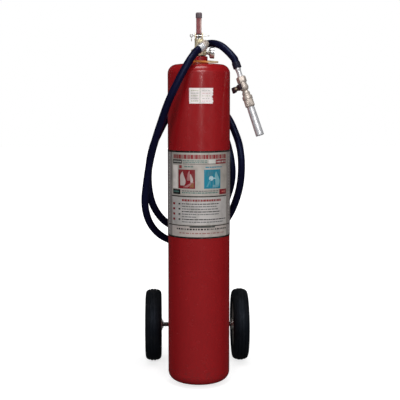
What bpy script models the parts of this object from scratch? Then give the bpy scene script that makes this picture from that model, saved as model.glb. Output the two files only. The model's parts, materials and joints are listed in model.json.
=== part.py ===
"""A wheeled dry-powder fire extinguisher: cylinder, valve, hose, shut-off nozzle, handle and wheels.

Metres, +Z up. The origin is the middle of the flat that the cylinder stands on, and the front is -Y.
"""

import math

import bmesh
import bpy
from mathutils import Matrix, Vector

GAP = 0.0003  # left between pieces that touch
RUN = 0.0008  # running clearance between pieces that move

# Cylinder
TANK_R = 0.1016
TANK_WALL = 0.003
TANK_SIDE_LOW = 0.038
TANK_SIDE_HIGH = 1.021
KNUCKLE_R = 0.030
TOP_CROWN_R = 0.600
BASE_CROWN_R = 0.300
BASE_FLAT_R = 0.035
NECK_HOLE_R = 0.018
BOSS_R = 0.0285
BOSS_TOP = 1.0765
BOSS_BORE_R = 0.0160
LABEL_THICK = 0.0004

# Discharge valve
HEX_R = 0.0255
HEX_LOW = 1.0790
HEX_HIGH = 1.1000
BARREL_R = 0.0145
BARREL_TOP = 1.1325
SEAT_Z = 1.1030
STEM_R = 0.0040
STEM_TOP = 1.1369
STEM_TRAVEL = 0.004
SAFETY_PIN_Y = -0.0113  # just in front of the lever's round foot
PIVOT_Z = 1.1425
LEVER_W = 0.0170
LEVER_TOP = 1.2150
EAR_X = 0.0094  # inner face of each ear that carries the lever's pin
EAR_THICK = 0.0035
OUTLET_Z = 1.1170
OUTLET_LENGTH = 0.0285
OUTLET_DIR = Vector((0.65, -0.76, 0)).normalized()
HOSE_DIR = Vector((-0.67, -0.573, -0.472)).normalized()  # square to the outlet
ELBOW_BEND_R = 0.012
ELBOW_LEAD = 0.001
ELBOW_R = 0.0095
GAUGE_Z = 1.0880
GAUGE_R = 0.0190
GAUGE_BACK_X = 0.034
GAUGE_FRONT_X = 0.050

# Hose and nozzle
HOSE_R = 0.012
HOSE_STEP = 0.048
HOSE_LEAD = 0.012
FERRULE_LENGTH = 0.030
CUFF_LENGTH = 0.020
NOZZLE_DIR = Vector((0.305, -0.18, -0.935)).normalized()
NOZZLE_SIDE = Vector((-0.80, -0.57, -0.1512)).normalized()  # the way the shut-off's stem points, square to it
NOZZLE_START = Vector((0.1245, -0.0214, 1.0382))
NOZZLE_BORE_R = 0.0075
NOZZLE_LENGTH = 0.230
BALL_AT = 0.066  # the shut-off ball, along the nozzle
HANDLE_OUT = 0.030  # its handle, out along the stem

# Running gear
WHEEL_R = 0.128
WHEEL_X = 0.155
TYRE_WIDTH = 0.056
RIM_R = 0.090
HUB_IN = 0.0315  # how far the hub reaches toward the cylinder from the wheel's middle, and away from it
HUB_OUT = 0.0165
AXLE_Y = 0.262
AXLE_R = 0.0075
AXLE_END_X = 0.1812
PLATE_X = 0.060
PLATE_THICK = 0.006

# Tow handle and hose rack
HANDLE_Z = 0.990
HANDLE_X = 0.083
HANDLE_TUBE_R = 0.0095
HANDLE_BACK_Y = 0.270
HANDLE_CORNER_R = 0.040
LUG_X = 0.0675
LUG_THICK = 0.004
BOLT_Y = 0.095
RACK_WIDTH = 0.020
RACK_THICK = 0.004

# The hose's route, in metres, between the straight leads out of the valve's ferrule and into the cuff.
HOSE_ROUTE = [
    (-0.029, -0.097, 1.065), (-0.050, -0.112, 1.030), (-0.073, -0.117, 0.986), (-0.099, -0.108, 0.931),
    (-0.123, -0.085, 0.865), (-0.144, -0.055, 0.800), (-0.160, -0.024, 0.735), (-0.172, 0.000, 0.662),
    (-0.178, 0.020, 0.600), (-0.171, 0.045, 0.548), (-0.152, 0.076, 0.505), (-0.120, 0.110, 0.470),
    (-0.075, 0.138, 0.448), (-0.020, 0.150, 0.442), (0.035, 0.145, 0.460), (0.078, 0.124, 0.500),
    (0.108, 0.094, 0.548), (0.128, 0.057, 0.605), (0.139, 0.026, 0.665), (0.141, 0.014, 0.730),
    (0.135, 0.026, 0.785), (0.122, 0.055, 0.829), (0.104, 0.087, 0.871), (0.075, 0.116, 0.910),
    (0.040, 0.132, 0.932), (0.000, 0.138, 0.939), (-0.040, 0.132, 0.932), (-0.076, 0.115, 0.910),
    (-0.107, 0.088, 0.871), (-0.131, 0.068, 0.827), (-0.150, 0.053, 0.785), (-0.162, 0.045, 0.735),
    (-0.167, 0.044, 0.670), (-0.159, 0.054, 0.608), (-0.140, 0.076, 0.560), (-0.108, 0.106, 0.520),
    (-0.064, 0.130, 0.497), (-0.012, 0.139, 0.492), (0.040, 0.129, 0.512), (0.077, 0.108, 0.557),
    (0.101, 0.088, 0.613), (0.114, 0.077, 0.672), (0.112, 0.079, 0.730), (0.099, 0.097, 0.790),
    (0.077, 0.124, 0.850), (0.050, 0.149, 0.903), (0.020, 0.164, 0.953), (-0.006, 0.164, 1.000),
    (-0.018, 0.149, 1.043), (-0.015, 0.124, 1.079), (-0.001, 0.097, 1.104), (0.022, 0.069, 1.118),
    (0.047, 0.044, 1.121), (0.073, 0.021, 1.112), (0.097, 0.001, 1.090),
]

COLOURS = {
    "red_paint": ((0.30, 0.010, 0.012), 0.25, 0.1),
    "brass": ((0.62, 0.50, 0.28), 0.35, 1.0),
    "plated_steel": ((0.72, 0.71, 0.68), 0.3, 1.0),
    "steel": ((0.45, 0.45, 0.45), 0.4, 1.0),
    "black_plastic": ((0.02, 0.015, 0.02), 0.5, 0.0),
    "seal_rubber": ((0.015, 0.015, 0.015), 0.7, 0.0),
    "tyre_rubber": ((0.012, 0.012, 0.014), 0.75, 0.0),
    "hose_rubber": ((0.010, 0.014, 0.045), 0.35, 0.0),
    "ring_plastic": ((0.80, 0.45, 0.12), 0.5, 0.0),
    "label": ((0.55, 0.57, 0.56), 0.4, 0.0),
    "white_plastic": ((0.80, 0.78, 0.74), 0.5, 0.0),
    "clear": ((0.9, 0.95, 0.95), 0.05, 0.0),
    "nylon": ((0.75, 0.72, 0.62), 0.5, 0.0),
}


# ---- Helpers -------------------------------------------------------------------------------------


def clear_scene():
    for obj in list(bpy.data.objects):
        bpy.data.objects.remove(obj, do_unlink=True)


def material(name):
    found = bpy.data.materials.get(name)
    if found:
        return found
    colour, roughness, metallic = COLOURS[name]
    made = bpy.data.materials.new(name)
    made.use_nodes = True
    shader = made.node_tree.nodes["Principled BSDF"]
    shader.inputs["Base Color"].default_value = (*colour, 1)
    shader.inputs["Roughness"].default_value = roughness
    shader.inputs["Metallic"].default_value = metallic
    return made


def add(name, mesh, colour, location=(0, 0, 0), rotation=None):
    """Puts a mesh in the scene as one named piece."""
    obj = bpy.data.objects.new(name, mesh)
    bpy.context.scene.collection.objects.link(obj)
    obj.location = location
    if rotation is not None:
        obj.rotation_euler = rotation.to_euler()
    if colour:
        mesh.materials.append(material(colour))
    if hasattr(mesh, "shade_smooth"):
        mesh.shade_smooth()
        mesh.set_sharp_from_angle(angle=math.radians(35))
    return obj


def toward(direction, spin=0.0):
    """The rotation that turns +Z to a direction."""
    turned_to = Vector(direction).to_track_quat("Z", "Y").to_matrix()
    return turned_to @ Matrix.Rotation(spin, 3, "Z")


def arc(r_mid, z_mid, radius, start_deg, end_deg, steps):
    """Points (r, z) on an arc, its angles counted from +r toward +z."""
    points = []
    for i in range(steps + 1):
        a = math.radians(start_deg + (end_deg - start_deg) * i / steps)
        points.append((r_mid + radius * math.cos(a), z_mid + radius * math.sin(a)))
    return points


def turned(name, profile, colour, segments=32, location=(0, 0, 0), rotation=None, closed=False):
    """A turned piece. The profile runs down the outer side; a closed one goes round a ring's section."""
    mesh = bpy.data.meshes.new(name)
    verts = [(r, 0, z) for r, z in profile]
    edges = [(i, i + 1) for i in range(len(verts) - 1)]
    if closed:
        edges.append((len(verts) - 1, 0))
    mesh.from_pydata(verts, edges, [])
    obj = add(name, mesh, colour, location, rotation)
    screw = obj.modifiers.new("turn", "SCREW")
    screw.axis = "Z"
    screw.steps = segments
    screw.render_steps = segments
    screw.use_merge_vertices = True
    screw.merge_threshold = 0.00001
    screw.use_smooth_shade = True
    return obj


def sleeve(name, r_in, r_out, low, high, colour, segments=28, location=(0, 0, 0), rotation=None, edge=0.0):
    """A plain ring or tube between two heights, its outer edges chamfered."""
    outer = [(r_out, high), (r_out, low)]
    if edge:
        outer = [(r_out - edge, high), (r_out, high - edge), (r_out, low + edge), (r_out - edge, low)]
    profile = [(r_in, high), *outer, (r_in, low)]
    return turned(name, profile, colour, segments, location, rotation, closed=True)


def rod(name, radius, low, high, colour, segments=20, location=(0, 0, 0), rotation=None, edge=0.0):
    """A solid round bar between two heights."""
    profile = [(0, high), (radius - edge, high), (radius, high - edge), (radius, low + edge)]
    profile += [(radius - edge, low), (0, low)]
    if not edge:
        profile = [(0, high), (radius, high), (radius, low), (0, low)]
    return turned(name, profile, colour, segments, location, rotation)


def box(name, size, centre, colour, rotation=None, bevel=0.0):
    mesh = bpy.data.meshes.new(name)
    bm = bmesh.new()
    bmesh.ops.create_cube(bm, size=1)
    bmesh.ops.scale(bm, vec=size, verts=bm.verts)
    bm.to_mesh(mesh)
    bm.free()
    obj = add(name, mesh, colour, centre, rotation)
    if bevel:
        soften(obj, bevel)
    return obj


def soften(obj, width, segments=1):
    bevel = obj.modifiers.new("soften", "BEVEL")
    bevel.width = width
    bevel.segments = segments
    bevel.limit_method = "ANGLE"
    bevel.angle_limit = math.radians(40)


def plate(name, outline, low_x, high_x, colour):
    """An outline in the Y-Z plane, given anticlockwise as seen from +X, extruded along X."""
    mesh = bpy.data.meshes.new(name)
    bm = bmesh.new()
    verts = [bm.verts.new((low_x, y, z)) for y, z in outline]
    face = bm.faces.new(verts)
    made = bmesh.ops.extrude_face_region(bm, geom=[face])
    moved = [v for v in made["geom"] if isinstance(v, bmesh.types.BMVert)]
    bmesh.ops.translate(bm, verts=moved, vec=(high_x - low_x, 0, 0))
    bmesh.ops.recalc_face_normals(bm, faces=bm.faces)
    bm.to_mesh(mesh)
    bm.free()
    return add(name, mesh, colour)


def pipe(name, points, radius, colour, resolution=2, closed=False):
    """A round bar or wire bent along points, with filled ends, or a closed ring of it."""
    curve = bpy.data.curves.new(name, "CURVE")
    curve.dimensions = "3D"
    curve.bevel_depth = radius
    curve.bevel_resolution = resolution
    curve.render_resolution_u = 0
    curve.use_fill_caps = not closed
    spline = curve.splines.new("POLY")
    spline.points.add(len(points) - 1)
    for point, place in zip(spline.points, points):
        point.co = (*place, 1)
    spline.use_cyclic_u = closed
    obj = bpy.data.objects.new(name, curve)
    bpy.context.scene.collection.objects.link(obj)
    if colour:
        curve.materials.append(material(colour))
    return obj


def meshed(obj):
    """A curve piece turned into a mesh, so that it can be cut."""
    name = obj.name
    mesh = bpy.data.meshes.new_from_object(obj)
    bpy.data.objects.remove(obj, do_unlink=True)
    made = bpy.data.objects.new(name, mesh)
    bpy.context.scene.collection.objects.link(made)
    mesh.shade_smooth()
    mesh.set_sharp_from_angle(angle=math.radians(35))
    return made


def combine(target, other, operation):
    """Cuts another shape out of a piece, or joins it on."""
    other.hide_render = True
    other.display_type = "WIRE"
    step = target.modifiers.new(operation.lower(), "BOOLEAN")
    step.operation = operation
    step.object = other
    step.solver = "EXACT"


def hexagon(name, across, low, high, colour, location=(0, 0, 0), rotation=None):
    """A hexagonal bar, across its corners."""
    return rod(name, across / 2, low, high, colour, 6, location, rotation, edge=0.0008)


def smooth_route(route, step):
    """Points an even step apart on a smooth curve through the route."""
    pts = [Vector(p) for p in route]
    pts = [2 * pts[0] - pts[1], *pts, 2 * pts[-1] - pts[-2]]
    fine = []
    for a, b, c, d in zip(pts, pts[1:], pts[2:], pts[3:]):
        for i in range(12):
            t = i / 12
            bend = 2 * a - 5 * b + 4 * c - d
            twist = -a + 3 * b - 3 * c + d
            fine.append(0.5 * (2 * b + (c - a) * t + bend * t * t + twist * t**3))
    fine.append(pts[-2].copy())
    lengths = [0.0]
    for a, b in zip(fine, fine[1:]):
        lengths.append(lengths[-1] + (b - a).length)
    count = round(lengths[-1] / step)
    even = []
    at = 0
    for i in range(count + 1):
        want = lengths[-1] * i / count
        while at < len(fine) - 2 and lengths[at + 1] < want:
            at += 1
        share = (want - lengths[at]) / (lengths[at + 1] - lengths[at])
        even.append(fine[at].lerp(fine[at + 1], share))
    return even


# ---- Cylinder ------------------------------------------------------------------------------------


def dome(side_z, crown_r, up, inset):
    """A dished end from the wall to the axis, as (r, z), set in by the wall's thickness."""
    knuckle_mid = TANK_R - KNUCKLE_R
    reach = crown_r - KNUCKLE_R
    drop = math.sqrt(reach**2 - knuckle_mid**2)
    turn = math.degrees(math.asin(drop / reach))
    knuckle = arc(knuckle_mid, 0, KNUCKLE_R - inset, 0, turn, 4)
    crown = [(r, math.sqrt((crown_r - inset) ** 2 - r**2) - drop) for r in (0.050, BASE_FLAT_R, NECK_HOLE_R)]
    return [(r, side_z + up * z) for r, z in knuckle + crown]


def top_height(r):
    """The height of the cylinder's crown at a distance from its axis."""
    drop = math.sqrt((TOP_CROWN_R - KNUCKLE_R) ** 2 - (TANK_R - KNUCKLE_R) ** 2)
    return TANK_SIDE_HIGH + math.sqrt(TOP_CROWN_R**2 - r**2) - drop


def make_cylinder():
    outer_top = dome(TANK_SIDE_HIGH, TOP_CROWN_R, 1, 0)
    inner_top = dome(TANK_SIDE_HIGH, TOP_CROWN_R, 1, TANK_WALL)
    outer_base = [p for p in dome(TANK_SIDE_LOW, BASE_CROWN_R, -1, 0) if p[1] > 0.0012]
    inner_base = [p for p in dome(TANK_SIDE_LOW, BASE_CROWN_R, -1, TANK_WALL) if p[1] > 0.0042]
    outside = outer_top[::-1] + outer_base + [(BASE_FLAT_R, 0), (0, 0)]
    inside = [(0, TANK_WALL), (BASE_FLAT_R, TANK_WALL)] + inner_base[::-1] + inner_top
    turned("cylinder_shell", inside + outside, "red_paint", 40)
    low_in, low_out = top_height(BOSS_BORE_R) + GAP, top_height(BOSS_R) + GAP
    profile = [(BOSS_BORE_R, BOSS_TOP), (BOSS_R - 0.002, BOSS_TOP), (BOSS_R, BOSS_TOP - 0.002)]
    profile += [(BOSS_R, low_out), (NECK_HOLE_R, low_in), (BOSS_BORE_R, low_in)]
    turned("neck_boss", profile, "red_paint", 32, closed=True)
    sleeve("siphon_tube", 0.0065, 0.0085, 0.025, 1.0640, "steel", 16)


def label(name, low, high, half_turn_deg, mid_deg, steps):
    """A sheet stuck round the front of the cylinder; angles are counted from the front."""
    mesh = bpy.data.meshes.new(name)
    bm = bmesh.new()
    radii = (TANK_R + GAP, TANK_R + GAP + LABEL_THICK)
    columns = []
    for i in range(steps + 1):
        a = math.radians(mid_deg - half_turn_deg + 2 * half_turn_deg * i / steps)
        corners = [(radii[0], low), (radii[1], low), (radii[1], high), (radii[0], high)]
        columns.append([bm.verts.new((r * math.sin(a), -r * math.cos(a), z)) for r, z in corners])
    for left, right in zip(columns, columns[1:]):
        for k in range(4):
            bm.faces.new((left[k], right[k], right[(k + 1) % 4], left[(k + 1) % 4]))
    bm.faces.new(columns[0])
    bm.faces.new(columns[-1][::-1])
    bmesh.ops.recalc_face_normals(bm, faces=bm.faces)
    bm.to_mesh(mesh)
    bm.free()
    return add(name, mesh, "label")


def make_labels():
    label("main_label", 0.494, 0.775, 118, 0, 32)
    label("inspection_label", 0.925, 0.974, 21.5, 2.5, 8)


# ---- Valve ---------------------------------------------------------------------------------------


def make_valve():
    profile = [(STEM_R + GAP, BARREL_TOP), (BARREL_R - 0.001, BARREL_TOP), (BARREL_R, BARREL_TOP - 0.001)]
    profile += [(BARREL_R, HEX_HIGH), (HEX_R, HEX_HIGH), (HEX_R, HEX_LOW), (BOSS_BORE_R - GAP, HEX_LOW)]
    profile += [(BOSS_BORE_R - GAP, 1.050), (0.0088, 1.050), (0.0088, 1.0655), (0.0105, 1.0665)]
    profile += [(0.0105, SEAT_Z - 0.002), (0.0065, SEAT_Z), (0.0065, SEAT_Z + 0.004)]
    profile += [(0.0100, SEAT_Z + 0.0052), (0.0100, BARREL_TOP - 0.0077), (STEM_R + GAP, BARREL_TOP - 0.006)]
    body = turned("valve_body", profile, "brass", 20, closed=True)
    start = Vector((0, 0, OUTLET_Z))
    spigot = rod("spigot_guide", 0.0115, 0.012, OUTLET_LENGTH, None, 20, start, toward(OUTLET_DIR))
    combine(body, spigot, "UNION")
    for side in (-1, 1):
        x = side * (EAR_X + EAR_THICK / 2)
        size = (EAR_THICK, 0.0240, 0.0215)
        ear = box(f"ear_guide_{side}", size, (x, -0.0022, BARREL_TOP + 0.0090), None)
        combine(body, ear, "UNION")
    outlet = rod("outlet_bore", 0.0080, 0.004, 0.050, None, 16, start, toward(OUTLET_DIR))
    combine(body, outlet, "DIFFERENCE")
    port = rod("gauge_port", 0.0050 + GAP, 0.008, 0.040, None, 16, (0, 0, GAUGE_Z), toward((1, 0, 0)))
    combine(body, port, "DIFFERENCE")
    pivot = rod("pivot_bore", 0.0022, -0.021, 0.021, None, 14, (0, 0, PIVOT_Z), toward((1, 0, 0)))
    combine(body, pivot, "DIFFERENCE")
    pin_hole = rod("pin_bore", 0.0019, -0.020, 0.020, None, 10, (0, SAFETY_PIN_Y, PIVOT_Z), toward((1, 0, 0)))
    combine(body, pin_hole, "DIFFERENCE")
    sleeve("valve_gasket", 0.0178, 0.0225, BOSS_TOP + GAP, HEX_LOW - GAP, "seal_rubber", 24)


def make_stem():
    low = SEAT_Z - 0.0065
    foot = SEAT_Z - 0.0140
    profile = [(0, STEM_TOP), (0.0012, STEM_TOP - 0.0003), (0.0022, STEM_TOP - 0.0012)]
    profile += [(STEM_R - RUN / 2, STEM_TOP - 0.004), (STEM_R - RUN / 2, low)]
    profile += [(0.0050, low), (0.0050, low - 0.003)]
    profile += [(0.0030, low - 0.003), (0.0030, foot), (0, foot)]
    turned("valve_stem", profile, "steel", 16)
    sleeve("seat_seal", 0.0040, 0.0092, low + GAP, SEAT_Z - 0.0024, "seal_rubber", 20)
    points = []
    turns, per_turn = 5, 10
    low_z, high_z = 1.0660 + 0.0015, SEAT_Z - 0.0130
    for i in range(turns * per_turn + 1):
        a = 2 * math.pi * i / per_turn
        z = low_z + (high_z - low_z) * i / (turns * per_turn)
        points.append((0.0070 * math.cos(a), 0.0070 * math.sin(a), z))
    pipe("valve_spring", points, 0.0008, "steel", 1)


def make_lever():
    cheek_r = 0.0091
    half = LEVER_W / 2
    wall = 0.0025
    cheek = []
    for i in range(9):
        a = math.radians(180 + 180 * i / 8)
        cheek.append((cheek_r * math.cos(a), PIVOT_Z + cheek_r * math.sin(a)))
    cheek += [(0.0080, PIVOT_Z + 0.020), (0.0065, LEVER_TOP)]
    cheek += [(-0.0065, LEVER_TOP), (-0.0080, PIVOT_Z + 0.020)]
    lever = plate("valve_lever", cheek, -half, half, "red_paint")
    inside = LEVER_W - 2 * wall
    slot_low = box("slot_guide", (inside, 0.030, 0.0170), (0, 0, PIVOT_Z - 0.0020), None)
    combine(lever, slot_low, "DIFFERENCE")
    channel = box("channel_guide", (inside, 0.030, 0.080), (0, 0.0120, PIVOT_Z + 0.048), None)
    combine(lever, channel, "DIFFERENCE")
    pivot = rod("lever_pivot_bore", 0.0022, -0.020, 0.020, None, 12, (0, 0, PIVOT_Z), toward((1, 0, 0)))
    combine(lever, pivot, "DIFFERENCE")
    centre_on(lever, (0, 0, PIVOT_Z))
    make_cam()
    rod("lever_pivot_pin", 0.0019, -0.0142, 0.0142, "steel", 12, (0, 0, PIVOT_Z), toward((1, 0, 0)))


def make_cam():
    """The block between the cheeks that pushes the stem down as the lever turns back."""
    outline = []
    for i in range(10):
        a = 90 * i / 9
        r = 0.0052 + (STEM_TRAVEL - 0.0002) * i / 9
        outline.append((r * math.sin(math.radians(a)), PIVOT_Z - r * math.cos(math.radians(a))))
    outline += [(0.0062, PIVOT_Z + 0.0060), (-0.0034, PIVOT_Z + 0.0060), (-0.0036, PIVOT_Z - 0.0030)]
    cam = plate("lever_cam", outline, -0.0056, 0.0056, "steel")
    pivot = rod("cam_pivot_bore", 0.0022, -0.020, 0.020, None, 12, (0, 0, PIVOT_Z), toward((1, 0, 0)))
    combine(cam, pivot, "DIFFERENCE")
    centre_on(cam, (0, 0, PIVOT_Z))


def centre_on(obj, place):
    """Moves a piece's origin onto its joint's axis and leaves its shape where it is."""
    obj.data.transform(Matrix.Translation(-Vector(place)))
    obj.location = place


def make_lever_cap():
    mid = LEVER_TOP - 0.0065
    cap = box("lever_cap", (LEVER_W + 0.004, 0.0175, 0.0180), (0, 0, mid), "black_plastic", bevel=0.002)
    hollow = box("cap_guide", (LEVER_W + 2 * GAP, 0.0140 + 2 * GAP, 0.030), (0, 0, mid - 0.0083), None)
    combine(cap, hollow, "DIFFERENCE")


def make_safety_pin():
    y = SAFETY_PIN_Y
    pin = rod("safety_pin", 0.0016, -0.0205, 0.0335, "steel", 10, (0, y, PIVOT_Z), toward((1, 0, 0)))
    eye_x = -0.0240
    eye = turned("eye_guide", arc(0.0042, 0, 0.0014, 0, 360 - 60, 5), None, 16,
                 (eye_x, y, PIVOT_Z), toward((0, 1, 0)), closed=True)
    combine(pin, eye, "UNION")
    ring_r, wire = 0.0080, 0.0010
    points = []
    for i in range(20):
        a = 2 * math.pi * i / 20
        points.append((eye_x, y + ring_r * math.sin(a), PIVOT_Z - 0.0016 - ring_r + ring_r * math.cos(a)))
    pipe("safety_pin_ring", points, wire, "steel", 1, closed=True)


def make_gauge():
    turn = toward((1, 0, 0))
    place = (0, 0, GAUGE_Z)
    back, front = GAUGE_BACK_X, GAUGE_FRONT_X
    profile = [(GAUGE_R - 0.0018, front), (GAUGE_R - 0.0005, front), (GAUGE_R, front - 0.0008)]
    profile += [(GAUGE_R, back + 0.003), (GAUGE_R - 0.003, back), (0.0075, back), (0.0075, HEX_R + GAP)]
    profile += [(0.0050, HEX_R + GAP), (0.0050, 0.0130), (0, 0.0130)]
    inner = [(0, back + 0.002), (GAUGE_R - 0.0018, back + 0.002)]
    turned("gauge_case", inner + profile, "plated_steel", 24, place, turn)
    dial_x = back + 0.0085
    glazed_r = GAUGE_R - 0.0018 - GAP
    sleeve("gauge_dial", 0.0010, glazed_r, dial_x, dial_x + 0.0008, "white_plastic", 24, place, turn)
    needle_x = dial_x + 0.0020
    needle = box("gauge_needle", (0.0007, 0.0016, 0.0135), (needle_x, 0, GAUGE_Z + 0.0045), "black_plastic")
    hub = rod("needle_hub_guide", 0.0020, needle_x - 0.0006, needle_x + 0.0006, None, 12, place, turn)
    combine(needle, hub, "UNION")
    centre_on(needle, (0, 0, 0.0045))
    needle.location = (needle_x, 0, GAUGE_Z)
    lens_x = front - 0.0028
    rod("gauge_lens", glazed_r, lens_x, lens_x + 0.0016, "clear", 24, place, turn)


def make_maintenance_ring():
    tilt = Matrix.Rotation(math.radians(3), 3, "X") @ Matrix.Rotation(math.radians(4), 3, "Y")
    place = (0.010, -0.006, top_height(0) + 0.0028 + 0.0022)
    sleeve("maintenance_ring", 0.042, 0.053, -0.0016, 0.0016, "ring_plastic", 36, place, tilt, edge=0.0008)


# ---- Hose and nozzle -----------------------------------------------------------------------------


def elbow_start():
    return Vector((0, 0, OUTLET_Z)) + OUTLET_DIR * (OUTLET_LENGTH + GAP)


def elbow_end():
    return elbow_start() + (OUTLET_DIR + HOSE_DIR) * (ELBOW_BEND_R + ELBOW_LEAD)


def make_hose_end():
    """The elbow on the valve's outlet, and the nut and ferrule on the hose."""
    middle = elbow_start() + OUTLET_DIR * ELBOW_LEAD + HOSE_DIR * ELBOW_BEND_R
    points = [elbow_start()]
    for i in range(9):
        a = math.radians(90 * i / 8)
        radius = OUTLET_DIR * math.sin(a) - HOSE_DIR * math.cos(a)
        points.append(middle + radius * ELBOW_BEND_R)
    end = elbow_end()
    points.append(end)
    elbow = pipe("outlet_elbow", points, ELBOW_R, "brass", 3)
    elbow.data.use_fill_caps = False
    wall = elbow.modifiers.new("wall", "SOLIDIFY")
    wall.thickness = 0.0025
    wall.offset = -1
    turn = toward(HOSE_DIR)
    sleeve("hose_nut", 0.0080, 0.0140, GAP, 0.0105, "plated_steel", 6, end, turn, edge=0.0008)
    low, outer = 0.0105 + GAP, HOSE_R + 0.0018
    sleeve("hose_ferrule", 0.0080, outer, low, FERRULE_LENGTH, "plated_steel", 24, end, turn, edge=0.0008)


def make_hose():
    first = elbow_end() + HOSE_DIR * (FERRULE_LENGTH + GAP)
    last = NOZZLE_START - NOZZLE_DIR * (CUFF_LENGTH + GAP)
    route = [first + HOSE_DIR * HOSE_LEAD, *HOSE_ROUTE, last - NOZZLE_DIR * HOSE_LEAD]
    pipe("discharge_hose", [first, *smooth_route(route, HOSE_STEP), last], HOSE_R, "hose_rubber", 2)


def make_nozzle():
    """The shut-off valve and lance, by their distances along the nozzle from the hose's end."""
    start = NOZZLE_START
    turn = toward(NOZZLE_DIR)
    bore = NOZZLE_BORE_R
    sleeve("hose_cuff", bore, HOSE_R + 0.0018, -CUFF_LENGTH, 0, "black_plastic", 24, start, turn, edge=0.0008)
    sleeve("hose_tail", bore - 0.001, 0.0095, GAP, 0.030, "plated_steel", 20, start, turn)
    sleeve("swivel_nut", bore, 0.0160, 0.030 + GAP, 0.050, "plated_steel", 6, start, turn, edge=0.001)
    make_shutoff(start, turn)
    profile = [(bore, 0.0955), (0.0145, 0.0955), (0.0165, 0.0970), (0.0165, 0.1070), (0.0150, 0.1085)]
    profile += [(0.0155, 0.1310), (0.0135, 0.1330), (bore, 0.1330)]
    turned("lance_coupling", profile[::-1], "brass", 24, start, turn, closed=True)
    profile = [(bore + 0.002, 0.1330 + GAP), (0.0115, 0.1330 + GAP), (0.0125, 0.145), (0.0135, NOZZLE_LENGTH)]
    profile += [(0.0120, NOZZLE_LENGTH), (bore + 0.0025, 0.145)]
    turned("lance_tube", profile[::-1], "plated_steel", 24, start, turn, closed=True)


def make_shutoff(start, turn):
    """A ball valve with a butterfly handle; closed, its handle lies across the nozzle."""
    bore = NOZZLE_BORE_R
    ball_r = 0.0105
    centre = start + NOZZLE_DIR * BALL_AT
    outer = [(0.0125, 0.050 + GAP), (0.0125, 0.0530), (0.0148, 0.0570), (0.0148, 0.0760), (0.0125, 0.0800)]
    outer += [(0.0125, 0.0955 - GAP)]
    pocket = [(bore, 0.0955 - GAP)]
    pocket += [(ball_r * math.sin(math.radians(a)) + GAP, BALL_AT + ball_r * math.cos(math.radians(a)))
               for a in (46, 62, 90, 118, 134)]
    pocket += [(bore, 0.050 + GAP)]
    body = turned("shutoff_body", (outer + pocket)[::-1], "brass", 20, start, turn, closed=True)
    side = toward(NOZZLE_SIDE)
    neck = rod("neck_guide", 0.0085, 0.0105, 0.0215, None, 20, centre, side)
    combine(body, neck, "UNION")
    stem_hole = rod("stem_bore", 0.0034, 0.004, 0.030, None, 16, centre, side)
    combine(body, stem_hole, "DIFFERENCE")
    wings = NOZZLE_DIR.cross(NOZZLE_SIDE)
    ball = turned("shutoff_ball", arc(0, 0, ball_r - GAP, 90, -90, 8), "plated_steel", 16, centre, side)
    across = rod("ball_bore", bore - 0.0005, -0.02, 0.02, None, 16, centre, toward(wings))
    combine(ball, across, "DIFFERENCE")
    notch = rod("ball_slot", 0.0032, 0.0085, 0.02, None, 14, centre, side)
    combine(ball, notch, "DIFFERENCE")
    rod("shutoff_stem", 0.0030, 0.0088, 0.0365, "brass", 14, centre, side)
    sleeve("packing_nut", 0.0040, 0.0088, 0.0215 + GAP, 0.0262, "brass", 6, centre, side)
    frame = Matrix((wings, NOZZLE_SIDE.cross(wings), NOZZLE_SIDE)).transposed()
    hub = centre + NOZZLE_SIDE * HANDLE_OUT
    handle = box("shutoff_handle", (0.042, 0.0150, 0.0040), hub, "plated_steel", frame)
    hub_hole = rod("handle_bore", 0.0030 + GAP, 0.020, 0.040, None, 14, centre, side)
    combine(handle, hub_hole, "DIFFERENCE")
    for name, way in (("handle_cover_near", 1), ("handle_cover_far", -1)):
        middle = hub + wings * way * 0.0155
        cover = box(name, (0.0160, 0.0185, 0.0085), middle, "black_plastic", frame, bevel=0.0015)
        pocket_at = middle - wings * way * 0.0020
        pocket = box(name + "_guide", (0.0165, 0.0150 + 2 * GAP, 0.0040 + 2 * GAP), pocket_at, None, frame)
        combine(cover, pocket, "DIFFERENCE")


# ---- Running gear --------------------------------------------------------------------------------


def make_wheel(side, word):
    turn = toward((side, 0, 0))
    place = (side * WHEEL_X, AXLE_Y, WHEEL_R)
    half = TYRE_WIDTH / 2
    tread = [(WHEEL_R - 0.0135, -half), (WHEEL_R - 0.004, -half + 0.009), (WHEEL_R, -half + 0.019)]
    tread += [(r, -x) for r, x in tread[::-1]]
    section = [(RIM_R + 2 * GAP, -half + 0.006), (RIM_R + 0.012, -half), *tread]
    section += [(RIM_R + 0.012, half), (RIM_R + 2 * GAP, half - 0.006)]
    turned(f"tyre_{word}", section[::-1], "tyre_rubber", 36, place, turn, closed=True)
    bore = AXLE_R + 0.0045
    dish = [(0.024, 0.006), (0.070, 0.006), (0.078, half - 0.008), (RIM_R, half - 0.006)]
    rim = [(bore, HUB_OUT), (0.021, HUB_OUT), *dish]
    rim += [(r, -x) for r, x in dish[::-1]] + [(0.021, -HUB_IN), (bore, -HUB_IN)]
    turned(f"wheel_rim_{word}", rim, "plated_steel", 24, place, turn, closed=True)
    inner = AXLE_R + GAP
    low, high = 0.0005 - HUB_IN, HUB_OUT - 0.0005
    sleeve(f"wheel_bush_{word}", inner, bore - GAP, low, high, "nylon", 20, place, turn)
    washer_at = HUB_OUT + RUN
    sleeve(f"wheel_washer_{word}", inner, 0.0145, washer_at, washer_at + 0.002, "steel", 20, place, turn)
    pin_x = side * (WHEEL_X + washer_at + 0.0045)
    rod(f"split_pin_{word}", 0.0015, -0.0130, 0.0130, "steel", 10, (pin_x, AXLE_Y, WHEEL_R))
    return pin_x


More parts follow.
